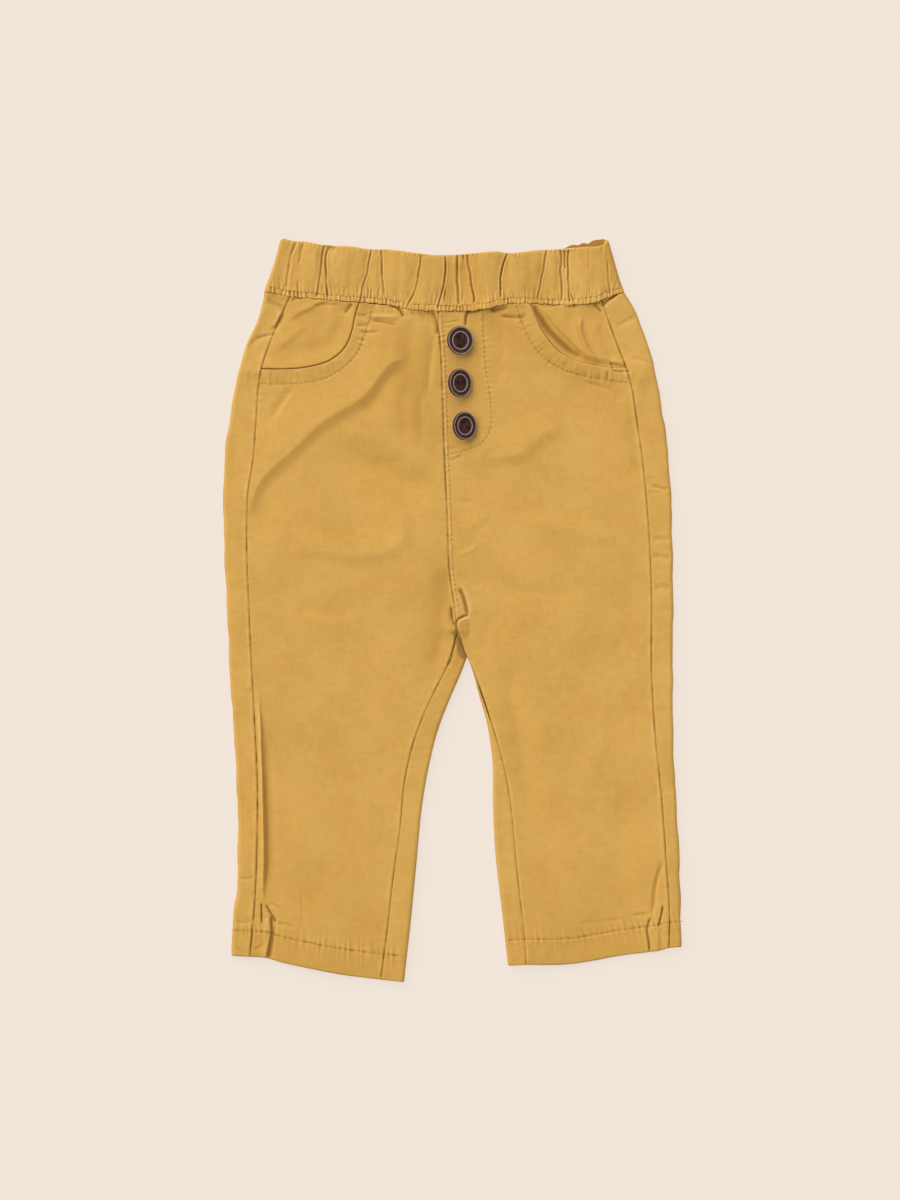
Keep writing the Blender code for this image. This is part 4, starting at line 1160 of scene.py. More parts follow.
def twill(name, gathered=0.0):
    """Mustard twill; gathered cloth is a little darker all over."""
    recipe = Recipe(
        name, Roughness=0.92, Sheen_Weight=0.05, Sheen_Roughness=0.45,
        Specular_IOR_Level=0.12, Sheen_Tint=(1.0, 0.8, 0.45, 1),
    )
    weave = recipe.node("ShaderNodeUVMap", {"uv_map": "weave"})
    parts = recipe.tree.nodes.new("ShaderNodeSeparateXYZ")
    recipe.set(parts.inputs[0], weave)
    across, along = Value(recipe, parts.outputs[0]), Value(recipe, parts.outputs[1])
    wobble = recipe.noise(weave, 2.4) - 0.5
    rib = ((across * RIB_ACROSS + along * RIB_ALONG) / RIB + wobble * 0.7).wave()
    weft = (along / YARN + wobble * 0.4).wave()
    slub_along = recipe.noise(weave, 0.9, 3.0, 0.6, stretch=(1, 9, 1))
    slub_across = recipe.noise(weave, 0.9, 3.0, 0.6, stretch=(9, 1, 1))
    cloud = recipe.noise(weave, 26.0, 3.0, 0.55)
    blotch = recipe.noise(weave, 4.5, 3.0, 0.6)
    fibre = recipe.noise(weave, 0.35, 2.0, 0.7)
    rub_and_shade = recipe.node("ShaderNodeAttribute", {"attribute_name": "wear_and_shade"}, output=2)
    tone = 0.40 + (cloud - 0.5) * 0.75 + (blotch - 0.5) * 0.35 + (slub_along + slub_across - 1) * 0.55
    tone = tone + (fibre - 0.5) * 0.35
    dye = recipe.mix(tone.between(0.0, 1.0), DYE, DYE_DEEP_AND_SHADE)
    # Painted shade: where the value is low, in hollows, creases, seams and deep places, the dye darkens;
    # the same mix gives the hems their darker tone and darkens the gathered band slightly.
    dye = recipe.mix((UNWORN - rub_and_shade).between(0.0, 0.42, "LINEAR") * 0.95 + gathered, dye, DYE_DEEP_AND_SHADE)
    dye = recipe.mix((rub_and_shade - UNWORN).between(0.0, 0.55) * (0.45 + blotch * 0.5), dye, DYE_WORN)
    # Painted shade at the bottom of the deepest creases.
    dye = recipe.mix((CREASE_SHADE_BELOW - rub_and_shade).between(0.0, CREASE_SHADE_BELOW) * 0.85, dye, CREASE_SHADE_COLOUR)
    height = rib * 0.6 + weft * 0.15 + fibre * 0.5 + slub_along * 0.2 + slub_across * 0.2
    bump = recipe.bump(0.9, BUMP, height)
    return recipe.finish(Base_Color=dye, Normal=bump, Roughness=0.86 + fibre * 0.12)


TWILL = twill("mustard twill")
TWILL_GATHERED = twill("mustard twill, gathered", 0.05)

# %% Thread
# The thread is painted darker than the cloth, as painted shade for its needle holes.
THREAD_SHADED = (0.45, 0.235, 0.055, 1)
THREAD_SHADED_DEEP = (0.36, 0.17, 0.035, 1)


def thread_finish():
    """Polyester thread, painted darker than the cloth as painted shade for its needle holes."""
    recipe = Recipe("mustard thread", Roughness=0.6, Sheen_Weight=0.1, Specular_IOR_Level=0.3)
    place = recipe.node("ShaderNodeTexCoord", output=OBJECT_SPACE)
    tone = recipe.noise(place, 0.004)
    return recipe.finish(Base_Color=recipe.mix(tone, THREAD_SHADED, THREAD_SHADED_DEEP))


THREAD_FINISH = thread_finish()

# %% [markdown]
# ## The front panels
#
# Each front runs from the waistband to the hem, between the side seam and the centre front or the
# inseam, and its upper outer corner is cut away along the pocket opening. The rows of its grid fan
# out from the opening, so that the corner of the pocket is a corner of the grid too.

# %% Front panels
PANEL_STEP = 0.62
ROW_PACE = (  # (places, steps) down from the pocket's corner: finer there, at the crotch and at the hem
    (0, 25, 35, 105, 118, 145, 160, 262, 275, 314, 317),
    (0.6, 0.7, 0.9, 0.9, 0.5, 0.5, 1.15, 1.15, 0.55, 0.5, 0.25),
)
FRONT_COLUMNS = whole_count(154)
MOUTH_ROLL, HEM_ROLL, BAND_ROLL, MOST_ROLL = 0.5, 0.8, 0.15, 0.9  # radii of the rounded edges


def dress(piece, finish, slot, *nodes):
    """Give a piece its finish, and let it stand for its CAD nodes."""
    piece.data.materials.append(finish)
    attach(piece, "root")
    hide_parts(*nodes)
    return piece


def front_panel(side):
    """The front of one leg, from the waistband to the hem."""
    leg, edges = LEGS[side], EDGES[side]
    seam = edges["side_seam"].points
    outer = Edge(leg.mouth, seam[seam[:, 1] < leg.mouth[-1][1]][::6])
    inner = Edge(CENTRE_FRONT, leg.inseam)
    corner = edges["mouth"].length / outer.length
    below = paced((1 - corner) * outer.length, *ROW_PACE) / outer.length
    rows = np.concatenate([graded(corner * outer.length, PANEL_STEP) * corner, corner + below[1:]])
    matched = np.interp(rows, (0, corner, 1), (0, MOUTH_CORNER_SHARE, 1))
    gap = leg.sign * SEAM_GAP / 2
    rungs = Rungs(side, outer.at(rows), inner.at(matched))
    seam_x = rungs.meet(edges["side_seam"], rungs.start[:, 0], -gap)
    start_x = np.where(rows <= corner, rungs.start[:, 0] - gap, seam_x)
    end_x = rungs.meet(inner, rungs.end[:, 0], gap)
    x = graded_between(start_x, end_x, FRONT_COLUMNS)
    y = rungs.heights(x)
    mouth = np.abs(beside(edges["mouth"].points, x, y)[0])
    near_mouth = np.where(y > leg.mouth[-1][1] - 3, mouth, FAR)
    hem = y - hem_line(side, x)
    roll = rolled(near_mouth, MOUTH_ROLL) + rolled(hem, HEM_ROLL) + rolled(band_seam(x) - y, BAND_ROLL)
    top = TOP + surface.at(x, y)
    outside = np.stack([x, y, top - np.minimum(roll, MOST_ROLL)], -1)
    inside = np.stack([x, y, TOP + folds.at(x, y) - hem_wall(side, x, y)], -1)
    wear_and_shade = worn_edge(worn_hem(wear_and_shade_map.at(x, y), hem), near_mouth, 1.2, 0.16)
    piece = cloth_wall(f"front_{side}_cloth", outside, inside, along_grain(side, x, y), wear_and_shade)
    return dress(piece, TWILL, "twill", f"front_{side}")


for side in LEGS:
    front_panel(side)

# %% [markdown]
# ## The back panels
#
# A back panel is a flattened tube that is open along the front: from the side seam over the outer
# fold, along the table, and round the inner fold to the inseam. Its section is worked out for
# each row, with its points closest on top, where they show.

# %% Back panels
STRIP_SHARES = np.concatenate([[0, 0.015, 0.035, 0.06, 0.095, 0.14], np.linspace(0.2, 0.94, 13)])
FOLD_TURNS = np.radians(np.linspace(0, 180, 13))
FLAT_SHARES = np.linspace(0.035, 0.965, 24)
TURN_COUNT = 41  # points of the last stretch, which ends on the inseam
TURN_REACH = 8.0  # that stretch starts this far before the inner fold
BACK_GAP = 0.01  # half of what is left open between the two backs, or between back and band
SIDE_TURN = 95.0  # degrees of the fold that a back panel goes round under a front panel's edge


def inner_turn(width, up):
    """How many degrees of the inner fold a back panel goes round."""
    if up > CROTCH[1]:
        return float(np.interp(up, (CROTCH[1], CROTCH[1] + 9), (SIDE_TURN, 0)))
    return float(np.interp(width, (0.6 * BEND, 1.15 * BEND), (SIDE_TURN, 180)))


def back_section(inward, outer_x, seam_x, inner_x, end_turn, strip_x):
    """One section, as (across, level, normal across, normal up) with the normals inwards."""
    outer_centre = outer_x + inward * BEND
    section = [(seam_x + (outer_centre - seam_x) * share, TOP, 0, -1) for share in STRIP_SHARES]
    for turn in FOLD_TURNS:
        s, c = math.sin(turn), math.cos(turn)
        section.append((outer_centre - inward * BEND * s, BEND + BEND * c, inward * s, -c))
    inner_centre = inner_x - inward * BEND
    for share in FLAT_SHARES:
        flat_x = outer_centre + (inner_centre - inward * TURN_REACH - outer_centre) * share
        section.append((flat_x, 0, 0, 1))
    flat = TURN_REACH + BEND * (1 - math.sin(math.radians(min(end_turn, 90))))
    bend = BEND * math.radians(end_turn)
    strip = (inner_centre - strip_x) * inward if end_turn == 180 else 0.0
    inner_centre += inward * (flat - TURN_REACH)
    for share in 1 - (1 - np.linspace(0, 1, TURN_COUNT)) ** 1.25:
        along = share * (flat + bend + strip)
        if along <= flat:
            section.append((inner_centre + inward * (along - flat), 0, 0, 1))
        elif along <= flat + bend:
            turn = (along - flat) / BEND
            s, c = math.sin(turn), math.cos(turn)
            section.append((inner_centre + inward * BEND * s, BEND - BEND * c, -inward * s, c))
        else:
            section.append((inner_centre - inward * (along - flat - bend), TOP, 0, -1))
    return section


UNDERSIDE_WAVES = ((0.14, 31, 12, 20), (0.05, 32, 3, 3))
UNDERSIDE_LIFT = 0.16  # the underside lies this high on average, and touches the table in places
LOW_DETAIL = 0.35  # what an edge's rounding keeps underneath
BEND_WEAR, BEND_WIDTH = 0.12, 1.6  # a folded edge is rubbed
underside = HeightMap()
underside.z = np.maximum(0, rolling(UNDERSIDE_WAVES, UNDERSIDE_LIFT))


def back_panel(side):
    """The back of one leg, an open tube that comes round both of its edges."""
    leg, edges = LEGS[side], EDGES[side]
    inner = Edge(CENTRE_FRONT, (CROTCH, FORK), leg.inner_fold)
    rows = graded(inner.length, PANEL_STEP)
    inward = -leg.sign
    gap = inward * SEAM_GAP / 2
    rungs = Rungs(side, edges["side_fold"].at(rows), inner.at(rows), BACK_GAP)
    seam_x = rungs.meet(edges["side_seam"], rungs.start[:, 0], -gap)
    strip_x = rungs.meet(Edge(CENTRE_FRONT, leg.inseam), rungs.end[:, 0], gap)
    sections = []
    for (x0, _), (x1, y1), seam, strip in zip(rungs.start, rungs.end, seam_x, strip_x):
        if y1 > FORK[1]:
            x1 -= inward * BACK_GAP
        turn = inner_turn((x1 - strip) * inward, y1)
        sections.append(back_section(inward, x0, seam, x1, turn, strip))
    x, level, across, upward = np.moveaxis(np.array(sections), -1, 0)
    y = rungs.heights(x)
    on_top = smoothstep(level / TOP)
    base = folds.at(x, y) * (level / TOP) ** 2
    rise = base + detail.at(x, y) * on_top
    hem = y - hem_line(side, x)
    roll = (rolled(hem, HEM_ROLL) + rolled(band_seam(x) - y, 0.5)).clip(max=MOST_ROLL)
    rise -= roll * (LOW_DETAIL + (1 - LOW_DETAIL) * on_top)
    rise -= underside.at(x, y) * (1 - on_top) * np.clip(upward, 0, 1) ** 2
    wall = hem_wall(side, x, y)
    held = (np.arange(x.shape[1]) > x.shape[1] // 2) & (y > FORK[1] - 2)
    outside = np.stack([x - across * np.where(held, 0, rise), y, level - upward * rise], -1)
    inside = np.stack([x + across * (wall - base), y, level + upward * (wall - base)], -1)
    steps = np.hypot(np.diff(x, axis=1), np.diff(level, axis=1))
    developed = np.concatenate([np.zeros((len(x), 1)), np.cumsum(steps, 1)], 1)
    grain = np.stack([developed * -leg.sign, y], -1)
    wear_and_shade = wear_and_shade_map.at(x, y) * on_top + UNWORN * (1 - on_top) + BEND_WEAR * bell(level - BEND, BEND_WIDTH)
    piece = cloth_wall(f"back_{side}_cloth", outside, inside, grain, worn_hem(wear_and_shade, hem))
    return dress(piece, TWILL, "twill", f"back_{side}")


for side in LEGS:
    back_panel(side)

# %% [markdown]
# ## The pocket yokes
#
# Inside each pocket opening shows the hip piece, which is sewn in along the waistband and the side
# seam and runs on under the front. It lies lower than the front along the opening and comes up to
# the side seam. Its own creases are drawn one by one, as the folds were.

# %% Pocket yokes
YOKE_STEP = 0.75
# How far from the opening it starts to rise to the front's level, and how long it takes
YOKE_RISE = {"right": (0.0, 0.9), "left": (1.0, 4.0)}
YOKE_LOWEST = 1.35  # its lower face stays above the back panel
YOKE_DEPTH = 45.0  # about how far it runs up from the opening, for the spacing of its grid
UNDERLAP_COUNT = 9  # columns of the part under the front
EASED_ROWS = 16  # rows that ease on to the waistband's seam
# Painted shade: the yoke lies lower and is painted darker all over, and darker still in its troughs.
YOKE_SHADE, YOKE_CREASE_SHADE = 0.44, 0.25
MOUTH_SHADE, MOUTH_SHADE_WIDTH = 0.4, 0.35  # painted shade: a dark line along the opening, under the front's edge
YOKE_CREASES = (
    # Left: the valley along the opening and the two folds beside it
    Fold(
        ((42.5, 166), (46, 158.5), (51, 151.5), (57, 145), (63, 139.8), (70, 135.4)),
        -1.3, 3.6, 4, 0.3, 0.1,
    ),
    Fold(
        (
            (46.6, 166), (48.6, 161.5), (52.3, 157), (57.3, 151), (61.6, 146.8), (66.2, 142),
            (70, 138.2), (73.6, 134.4),
        ),
        0.9, 5, 1.2, 0.6, 0.2,
    ),
    Fold(
        ((68.4, 160), (67.4, 152), (68.6, 147.5), (70.6, 143), (73.6, 138.5), (77.6, 134), (80, 132)),
        1.5, 1.8, 6, 0.6, 0.2,
    ),
    Fold(((76.5, 158), (76, 150), (79, 142), (84, 136)), 0.6, 3.5, 5, 0.2),
    Fold(((84, 133.2), (89, 132.6), (93.5, 130.8)), 0.9, 2.2, 2.2, 0.4),
    # Right: a fold under the waistband and soft shades towards the side seam
    Fold(
        ((-64, 167.5), (-71, 165.2), (-76, 162.3), (-80, 160.8), (-84, 158.4), (-88, 155.8)),
        0.9, 2.0, 5, 0.4,
    ),
    Fold(((-78, 154), (-86, 147), (-95, 140)), 0.6, 3.5, 7, 0.2),
    Fold(((-93, 141), (-80, 140), (-66, 145)), -0.35, 6, 6, 0.1),
    Fold(((-62, 160), (-66, 152), (-72, 144)), 0.35, 5, 5, 0.1),
)
yoke_relief = HeightMap()
for crease in YOKE_CREASES:
    add_fold(yoke_relief, crease)


def pocket_yoke(side):
    """The hip piece in one pocket opening, with the strip that runs on under the front."""
    leg, edges = LEGS[side], EDGES[side]
    seam = edges["side_seam"].points
    above_mouth = Edge(seam[seam[:, 1] > leg.mouth[-1][1]][::4])
    mouth = edges["mouth"]
    rows = graded(mouth.length, YOKE_STEP)
    start = above_mouth.at(rows)
    start[:, 0] -= leg.sign * SEAM_GAP / 2
    middle = mouth.at(rows)
    tangent = mouth.at(np.minimum(rows + 0.01, 1)) - mouth.at(np.maximum(rows - 0.01, 0))
    tangent /= np.linalg.norm(tangent, axis=1)[:, None]
    underlap = np.stack([tangent[:, 1], -tangent[:, 0]], -1) * leg.sign * YOKE_UNDERLAP
    columns = [start * (1 - share) + middle * share for share in graded(YOKE_DEPTH, YOKE_STEP)]
    under = np.linspace(1 / UNDERLAP_COUNT, 1, UNDERLAP_COUNT)
    columns += [middle + underlap * share for share in under]
    plan = np.stack(columns, 1)
    x, y = plan[..., 0], plan[..., 1]
    fade = np.linspace(1, 0, EASED_ROWS)[:, None] ** 2
    y[:EASED_ROWS] += (band_seam(x[:EASED_ROWS]) - BAND_GAP / 2 - y[0]) * fade
    distance, _ = beside(mouth.points, x, y)
    distance *= leg.sign
    edge, slope = YOKE_RISE[side]
    lift = smoothstep((distance - edge) / slope)
    under_front = TOP + folds.at(x, y) - CLOTH - YOKE_CLEARANCE
    top = under_front + lift * (CLOTH + YOKE_CLEARANCE)
    shown = smoothstep((distance + 0.2) / 1.6)
    roll = rolled(band_seam(x) - y, 0.5).clip(max=0.8)
    creased = yoke_relief.at(x, y) * shown
    low = np.maximum(top + np.minimum(creased, 0) - YOKE_CLOTH, YOKE_LOWEST)
    outer_z = np.maximum(top + detail.at(x, y) * shown + creased - roll, low + 0.4)
    outside = np.stack([x, y, outer_z], -1)
    inside = np.stack([x, y, low], -1)
    # Painted shade: darker all over, in the troughs, and along the opening.
    wear_and_shade = YOKE_SHADE + (wear_and_shade_map.at(x, y) - UNWORN) * smoothstep((distance + 0.2) / 0.5)
    wear_and_shade = wear_and_shade + YOKE_CREASE_SHADE * np.minimum(creased, 0.0)
    wear_and_shade = np.clip(wear_and_shade - MOUTH_SHADE * bell(distance, MOUTH_SHADE_WIDTH), 0, 1)
    piece = cloth_wall(f"pocket_yoke_{side}_cloth", outside, inside, along_grain(side, x, y), wear_and_shade)
    return dress(piece, TWILL, "twill", f"pocket_yoke_{side}")


for side in LEGS:
    pocket_yoke(side)

# %% [markdown]
# ## The waistband
#
# The band is a casing of doubled cloth, gathered over its elastic. Between two creases the cloth
# lies in flat puffs; a crease is a narrow V with a bright lip on each side. Near the lower edge a
# row of stitches draws a second, finer set: short creases that rise from it like grass. The band
# has a finer map of its own. The creases that the photograph shows one by one are listed,
# and the shortest of them are strewn along the seam, the stitches and the top edge with a seed.

# %% The band's sizes and its creases
BAND_CLOTH = 2.0
BAND_TOP = 4.8
BAND_STITCH = 3.1  # height of the stitch line over the band's lower edge
BAND_GRID = 0.25
BAND_LEFT = ((-101.3, 170.6), (-92.3, 200.2))
BAND_RIGHT = ((92.5, 170.2), (83.6, 200.2))
BAND_EDGE_FRONT = smooth_run((
    (-93, 200.0), (-88.5, 199.2), (-85, 198.3), (-80, 198.2), (-70, 196.4), (-63, 195.9), (-55, 195.6),
    (-45, 194.1), (-35, 193.9), (-20, 192.0), (-10, 190.9), (-4, 190.9), (5, 191.3), (15, 192.2),
    (23, 192.8), (29, 192.1), (35, 192.3), (43, 193.3), (52, 193.8), (60, 194.4), (66, 194.9),
    (73, 195.4), (80, 196.2), (82.5, 197.6), (84.5, 199.6),
))
BAND_EDGE_BACK = smooth_run((
    (-93, 200.0), (-85, 198.4), (-80, 197.9), (-70, 196.0), (-45, 193.6), (-20, 191.6), (-5, 190.5),
    (15, 191.8), (35, 192.0), (52, 193.6), (60, 194.6), (65, 196.6), (67.5, 196.2), (70, 197.6),
    (72.8, 196.9), (75, 198.6), (80, 199.4), (84.5, 200.1),
))
# Each crease: its path from the top down, its depth and its width.
BAND_CREASES = (
    (((-84.2, 198), (-86.5, 192), (-88.5, 182), (-89.6, 172)), 0.8, 0.8),
    (((-80.1, 198), (-81.5, 193), (-83, 185)), 0.45, 1.0),
    (((-94.8, 196), (-96.5, 188), (-98, 178)), 0.3, 1.2),
    (((-69.5, 196), (-70.5, 188), (-71.3, 180), (-72.8, 172), (-74.3, 166.8)), 1.0, 0.55),
    (((-66.8, 196), (-68, 190), (-68.3, 183), (-68, 177), (-67.5, 170), (-66.6, 166.5)), 1.0, 0.55),
    (((-66.2, 196), (-66.6, 194.5), (-67, 193)), 0.7, 0.4),
    (((-65, 196), (-65.2, 194), (-65.5, 192.5)), 0.7, 0.4),
    (((-63.3, 195.5), (-64, 193.5), (-64.5, 191.5)), 0.8, 0.4),
    (((-43.8, 194.5), (-45, 188), (-46.3, 181), (-48.2, 175), (-49.3, 169), (-50.2, 163)), 0.95, 0.5),
    (((-38.5, 193.5), (-38, 183), (-37.5, 176), (-36.8, 170), (-34.8, 163)), 0.7, 0.55),
    (
        (
            (-17.3, 191), (-17.4, 187), (-18.3, 181), (-19.2, 175.5), (-21.2, 169.3), (-23.6, 165),
            (-25.6, 160),
        ),
        1.0, 0.5,
    ),
    (((-15.7, 191), (-15.7, 189.5), (-15.8, 188)), 0.6, 0.4),
    (((-7.6, 171), (-8.6, 167), (-9.8, 163)), 0.6, 0.6),
    (((-4.3, 173), (-4.3, 169), (-4.2, 164.5)), 0.7, 0.5),
    (((-4.3, 191.5), (-4.1, 186), (-4.4, 180), (-4.9, 174), (-6.4, 168.5), (-8.8, 161)), 1.1, 0.55),
    (((-0.7, 191), (-0.4, 189), (-0.3, 187)), 0.5, 0.4),
    (((2.6, 191.5), (2.6, 185), (2.6, 178), (3, 170), (3.2, 163.5)), 1.6, 0.7),
    (((5.7, 191), (5.8, 189), (6, 186.5)), 0.9, 0.5),
    (((7.8, 191), (8.3, 186), (9.5, 180), (10.6, 173), (11.5, 168), (11.3, 164)), 1.3, 0.6),
    (((11.3, 192), (11, 190), (10.8, 188.5)), 0.8, 0.45),
    (((13.3, 192), (13.4, 189.5), (13.5, 187)), 0.6, 0.5),
    (((17.5, 172), (18, 168), (18.8, 164.5)), 0.7, 0.5),
    (((29.5, 192.3), (27.5, 187.5), (26.2, 182), (25.7, 176), (25.7, 170), (26.7, 166)), 0.95, 0.55),
    (((50.5, 193.5), (49.2, 187), (48.2, 181), (47, 175), (46, 170), (45.6, 165)), 1.1, 0.5),
    (((58, 193.5), (58.3, 188), (57.8, 182), (58.5, 176), (58.7, 170), (58, 164.5)), 1.0, 0.55),
    (((60.2, 193.5), (60.1, 187), (60.2, 182.5)), 0.9, 0.5),
    (((61.8, 193.5), (62, 187), (62.3, 182), (62.2, 176), (63.2, 171), (65.4, 165)), 1.0, 0.55),
    (((62.3, 174), (62.5, 169.5), (62.7, 165)), 0.6, 0.5),
    (((73, 195), (73.4, 189), (73, 181)), 0.25, 1.2),
    (((80, 196), (80.3, 193.5), (80.5, 191)), 0.4, 0.8),
    (((83, 188), (83.6, 178), (84.6, 169)), 0.5, 0.6),
    (((82.8, 173), (82.9, 171), (83, 169)), 0.8, 0.45),
)
# Painted shade on crowded stretches of the band, where the gathers shade it: (from, to), amount
BAND_SHADES = (
    ((-25, -12), 0.14), ((-7, 15), 0.24), ((22, 31), 0.08), ((40, 50), 0.08), ((-74, -64), 0.08),
)
# Short creases that rise from the stitch line: where, up to what height, and how deep.
BAND_TUFTS = (
    (-95.5, 173, 0.45), (-94, 172.5, 0.4), (-92.5, 173, 0.4), (-90.6, 176.5, 0.9), (-83, 176, 0.9),
    (-80.8, 173.5, 0.5), (-77.5, 171.5, 0.4), (-71, 171.5, 0.5), (-64, 172, 0.5), (-61, 173.5, 0.5),
    (-58, 174.5, 0.9), (-55.8, 171.5, 0.5), (-53, 170.5, 0.5), (-47.5, 174, 0.5), (-47, 177, 0.5),
    (-45.3, 174.5, 0.9), (-43.5, 171, 0.5), (-41.5, 171, 0.5), (-34.6, 172, 0.9), (-32, 169.5, 0.4),
    (-29, 170.5, 0.5), (-27, 168.5, 0.5), (-13, 168, 0.4), (-10.5, 169, 0.4), (-1, 169, 0.5),
    (7, 168, 0.5), (14.5, 168.5, 0.4), (20.5, 168.5, 0.5), (22.5, 170.5, 0.5), (24.3, 168.5, 0.5),
    (28, 170.5, 0.5), (30, 171.5, 0.5), (31.5, 171, 0.5), (33.5, 170.5, 0.5), (37, 169.5, 0.4),
    (41.5, 172, 0.6), (43.5, 171.5, 0.6), (48.5, 170, 0.5), (51.5, 169.5, 0.5), (55, 170, 0.5),
    (66, 170.5, 0.5), (70, 169.5, 0.4), (74.8, 171, 0.5), (78, 172.5, 0.5), (88, 173, 0.5),
)


def band_edge(x, layer):
    """Height of the band's top edge: layer 0 is the front, 1 the back."""
    front, back = (np.interp(x, *edge.T) for edge in (BAND_EDGE_FRONT, BAND_EDGE_BACK))
    return front * (1 - layer) + back * layer


CREASE_REACH, CREASE_STEP = 7.0, 0.4
BEND_LENGTH = 5.0  # a crease wanders over lengths like this
WANDER, UNEVEN = 0.14, 0.3  # how far it strays, and how much its depth varies
VALLEY, LIP, HOLLOW_REACH = 1.1, 0.3, 2.6  # depth of the V, height of its lips, reach of its hollow


def add_crease(heights, path, depth, width, seed, ends, sunk=0.22):
    """A narrow V with a lip on each side, which wanders a little and dies out at its ends."""
    window, distance, along, length = heights.beside_line(path, CREASE_REACH, CREASE_STEP)
    stray, uneven = wandering(seed, 2, along, length, BEND_LENGTH, 4)
    distance = distance + WANDER * stray
    depth = depth * (1 + UNEVEN * uneven.clip(-2, 2))
    lips = bell(np.abs(distance) - 1.8 * width, 0.9 * width)
    shape = -VALLEY * depth * bell(distance, 0.5 * width) + LIP * depth * lips
    shape -= sunk * depth * np.exp(-np.abs(distance) / HOLLOW_REACH)
    fade = smoothstep(along / ends[0] + 0.3) * smoothstep((length - along) / ends[1] + 0.15)
    heights.z[window] += shape * fade


# %% What is strewn over the band
def under_stitches(x, random):
    """A short crease from the row of stitches down to the seam."""
    low, lean = band_seam(x), random.uniform(-0.5, 0.5)
    return (x, low + BAND_STITCH + 0.2), (x + lean / 2, low + 1.5), (x + lean, low - 0.6)


def from_top(x, random):
    """A short crease from the band's top edge downwards."""
    high = band_edge(x, 0)
    start, end = (x, high + 0.5), (x + random.uniform(-0.4, 0.4), high - random.uniform(1.5, 3.5))
    return start, tuple(np.mean((start, end), 0)), end


def above_stitches(x, random):
    """A short crease that rises from the row of stitches."""
    low, lean = band_seam(x) + BAND_STITCH, random.uniform(-1.2, 1.2)
    top = low + random.uniform(1.5, 7.0)
    return (x, low - 0.4), (x + 0.4 * lean, (low + top) / 2), (x + lean, top)


# Depth, width and spacing are ranges to draw from; start and end are places across the band
Strewn = namedtuple("Strewn", "shape start end depth width seed fades spacing")
STREWN = (
    Strewn(under_stitches, -99, 91, (0.2, 0.8), (0.4, 0.65), 200, (0.5, 0.5), (1.2, 2.7)),
    Strewn(from_top, -95, 86, (0.1, 0.5), (0.4, 0.7), 500, (0.5, 1.5), (2.0, 6.0)),
    Strewn(above_stitches, -97, 89, (0.1, 0.45), (0.4, 0.8), 900, (0.5, 3.0), (1.4, 4.0)),
)
BAND_MAP = (-106, 158), (98, 203), BAND_GRID  # two corners of the band's own map, and its grid
BAND_WAVES = ((0.5, 48, 4.5, 13), (0.3, 44, 2.4, 8), (0.08, 45, 1.0, 4), (0.035, 46, 0.7, 0.9))
STITCH_WAVE, STITCH_WAVE_REACH = (0.15, 47, 0.7, 2.4), 3.5
STITCH_GROOVE, STITCH_GROOVE_WIDTH = 0.16, 0.45
BAND_FOOT = 0.35  # the band stands this much prouder at its foot
CREASE_SUNK = 0.7  # the drawn creases also sink the cloth around them, by this share of their depth
TUFT_SHARE, TUFT_SEED = 0.75, 3


def band_relief():
    """The front of the gathered band."""
    relief = HeightMap(*BAND_MAP)
    x, y = np.meshgrid(relief.x, relief.y)
    for seed, (path, depth, width) in enumerate(BAND_CREASES):
        starts_inside = path[0][1] < band_edge(path[0][0], 0) - 4
        fades = (4.0 if starts_inside else 0.6, 4.0)
        add_crease(relief, path, depth, width, seed, fades, CREASE_SUNK)
    random = np.random.default_rng(43)
    for x0, top, depth in BAND_TUFTS:
        low, lean = band_seam(x0) + BAND_STITCH, random.uniform(-1.0, 0.8)
        path = ((x0, low - 0.6), (x0 + 0.35 * lean, (low + top) / 2), (x0 + lean, top))
        width = random.uniform(0.42, 0.62)
        add_crease(relief, path, TUFT_SHARE * depth, width, TUFT_SEED, (0.5, 3.0))
    for strewn in STREWN:
        x0 = float(strewn.start)
        while x0 < strewn.end:
            path = strewn.shape(x0, random)
            depth, width = random.uniform(*strewn.depth), random.uniform(*strewn.width)
            add_crease(relief, path, depth, width, int(x0 + strewn.seed), strewn.fades)
            x0 += random.uniform(*strewn.spacing)
    over_stitch = y - band_seam(x) - BAND_STITCH
    relief.z -= STITCH_GROOVE * bell(over_stitch, STITCH_GROOVE_WIDTH)
    relief.z += BAND_FOOT * smoothstep((6 - over_stitch) / 8)

    def waves(height, seed, across, up):
        made = np.random.default_rng(seed).standard_normal(relief.z.shape)
        made = blurred(made, across * GRID / BAND_GRID, up * GRID / BAND_GRID)
        return height * (made / made.std())

    relief.z += sum(waves(*row) for row in BAND_WAVES)
    relief.z += waves(*STITCH_WAVE) * np.exp(-np.abs(over_stitch) / STITCH_WAVE_REACH)
    return relief


BAND_RELIEF = band_relief()
print("band relief from", round(BAND_RELIEF.z.min(), 2), "to", round(BAND_RELIEF.z.max(), 2), "mm")

# %% The band, row by row, all the way round
BAND_STEP, BAND_HEIGHT = 0.36, 30.0
FRONT_COUNT, BACK_COUNT = 600, 300
BAND_TURNS = np.radians(np.linspace(0, 180, 14)[1:-1])
BACK_CREASE_MEAN = 4.5  # distance between two creases of the hidden side
BACK_SUNK, BACK_CREASE, BACK_CREASE_WIDTH = 0.16, 0.5, 0.8
LOWEST, HIGHEST = -2.2, 1.6  # limits of the front's relief
# The band's back layer is painted darker, as painted shade where it shows above the front.
BAND_BACK_SHADE = 0.36
STRETCH = 1.3  # the cloth is this much longer than the gathered band, for its weave


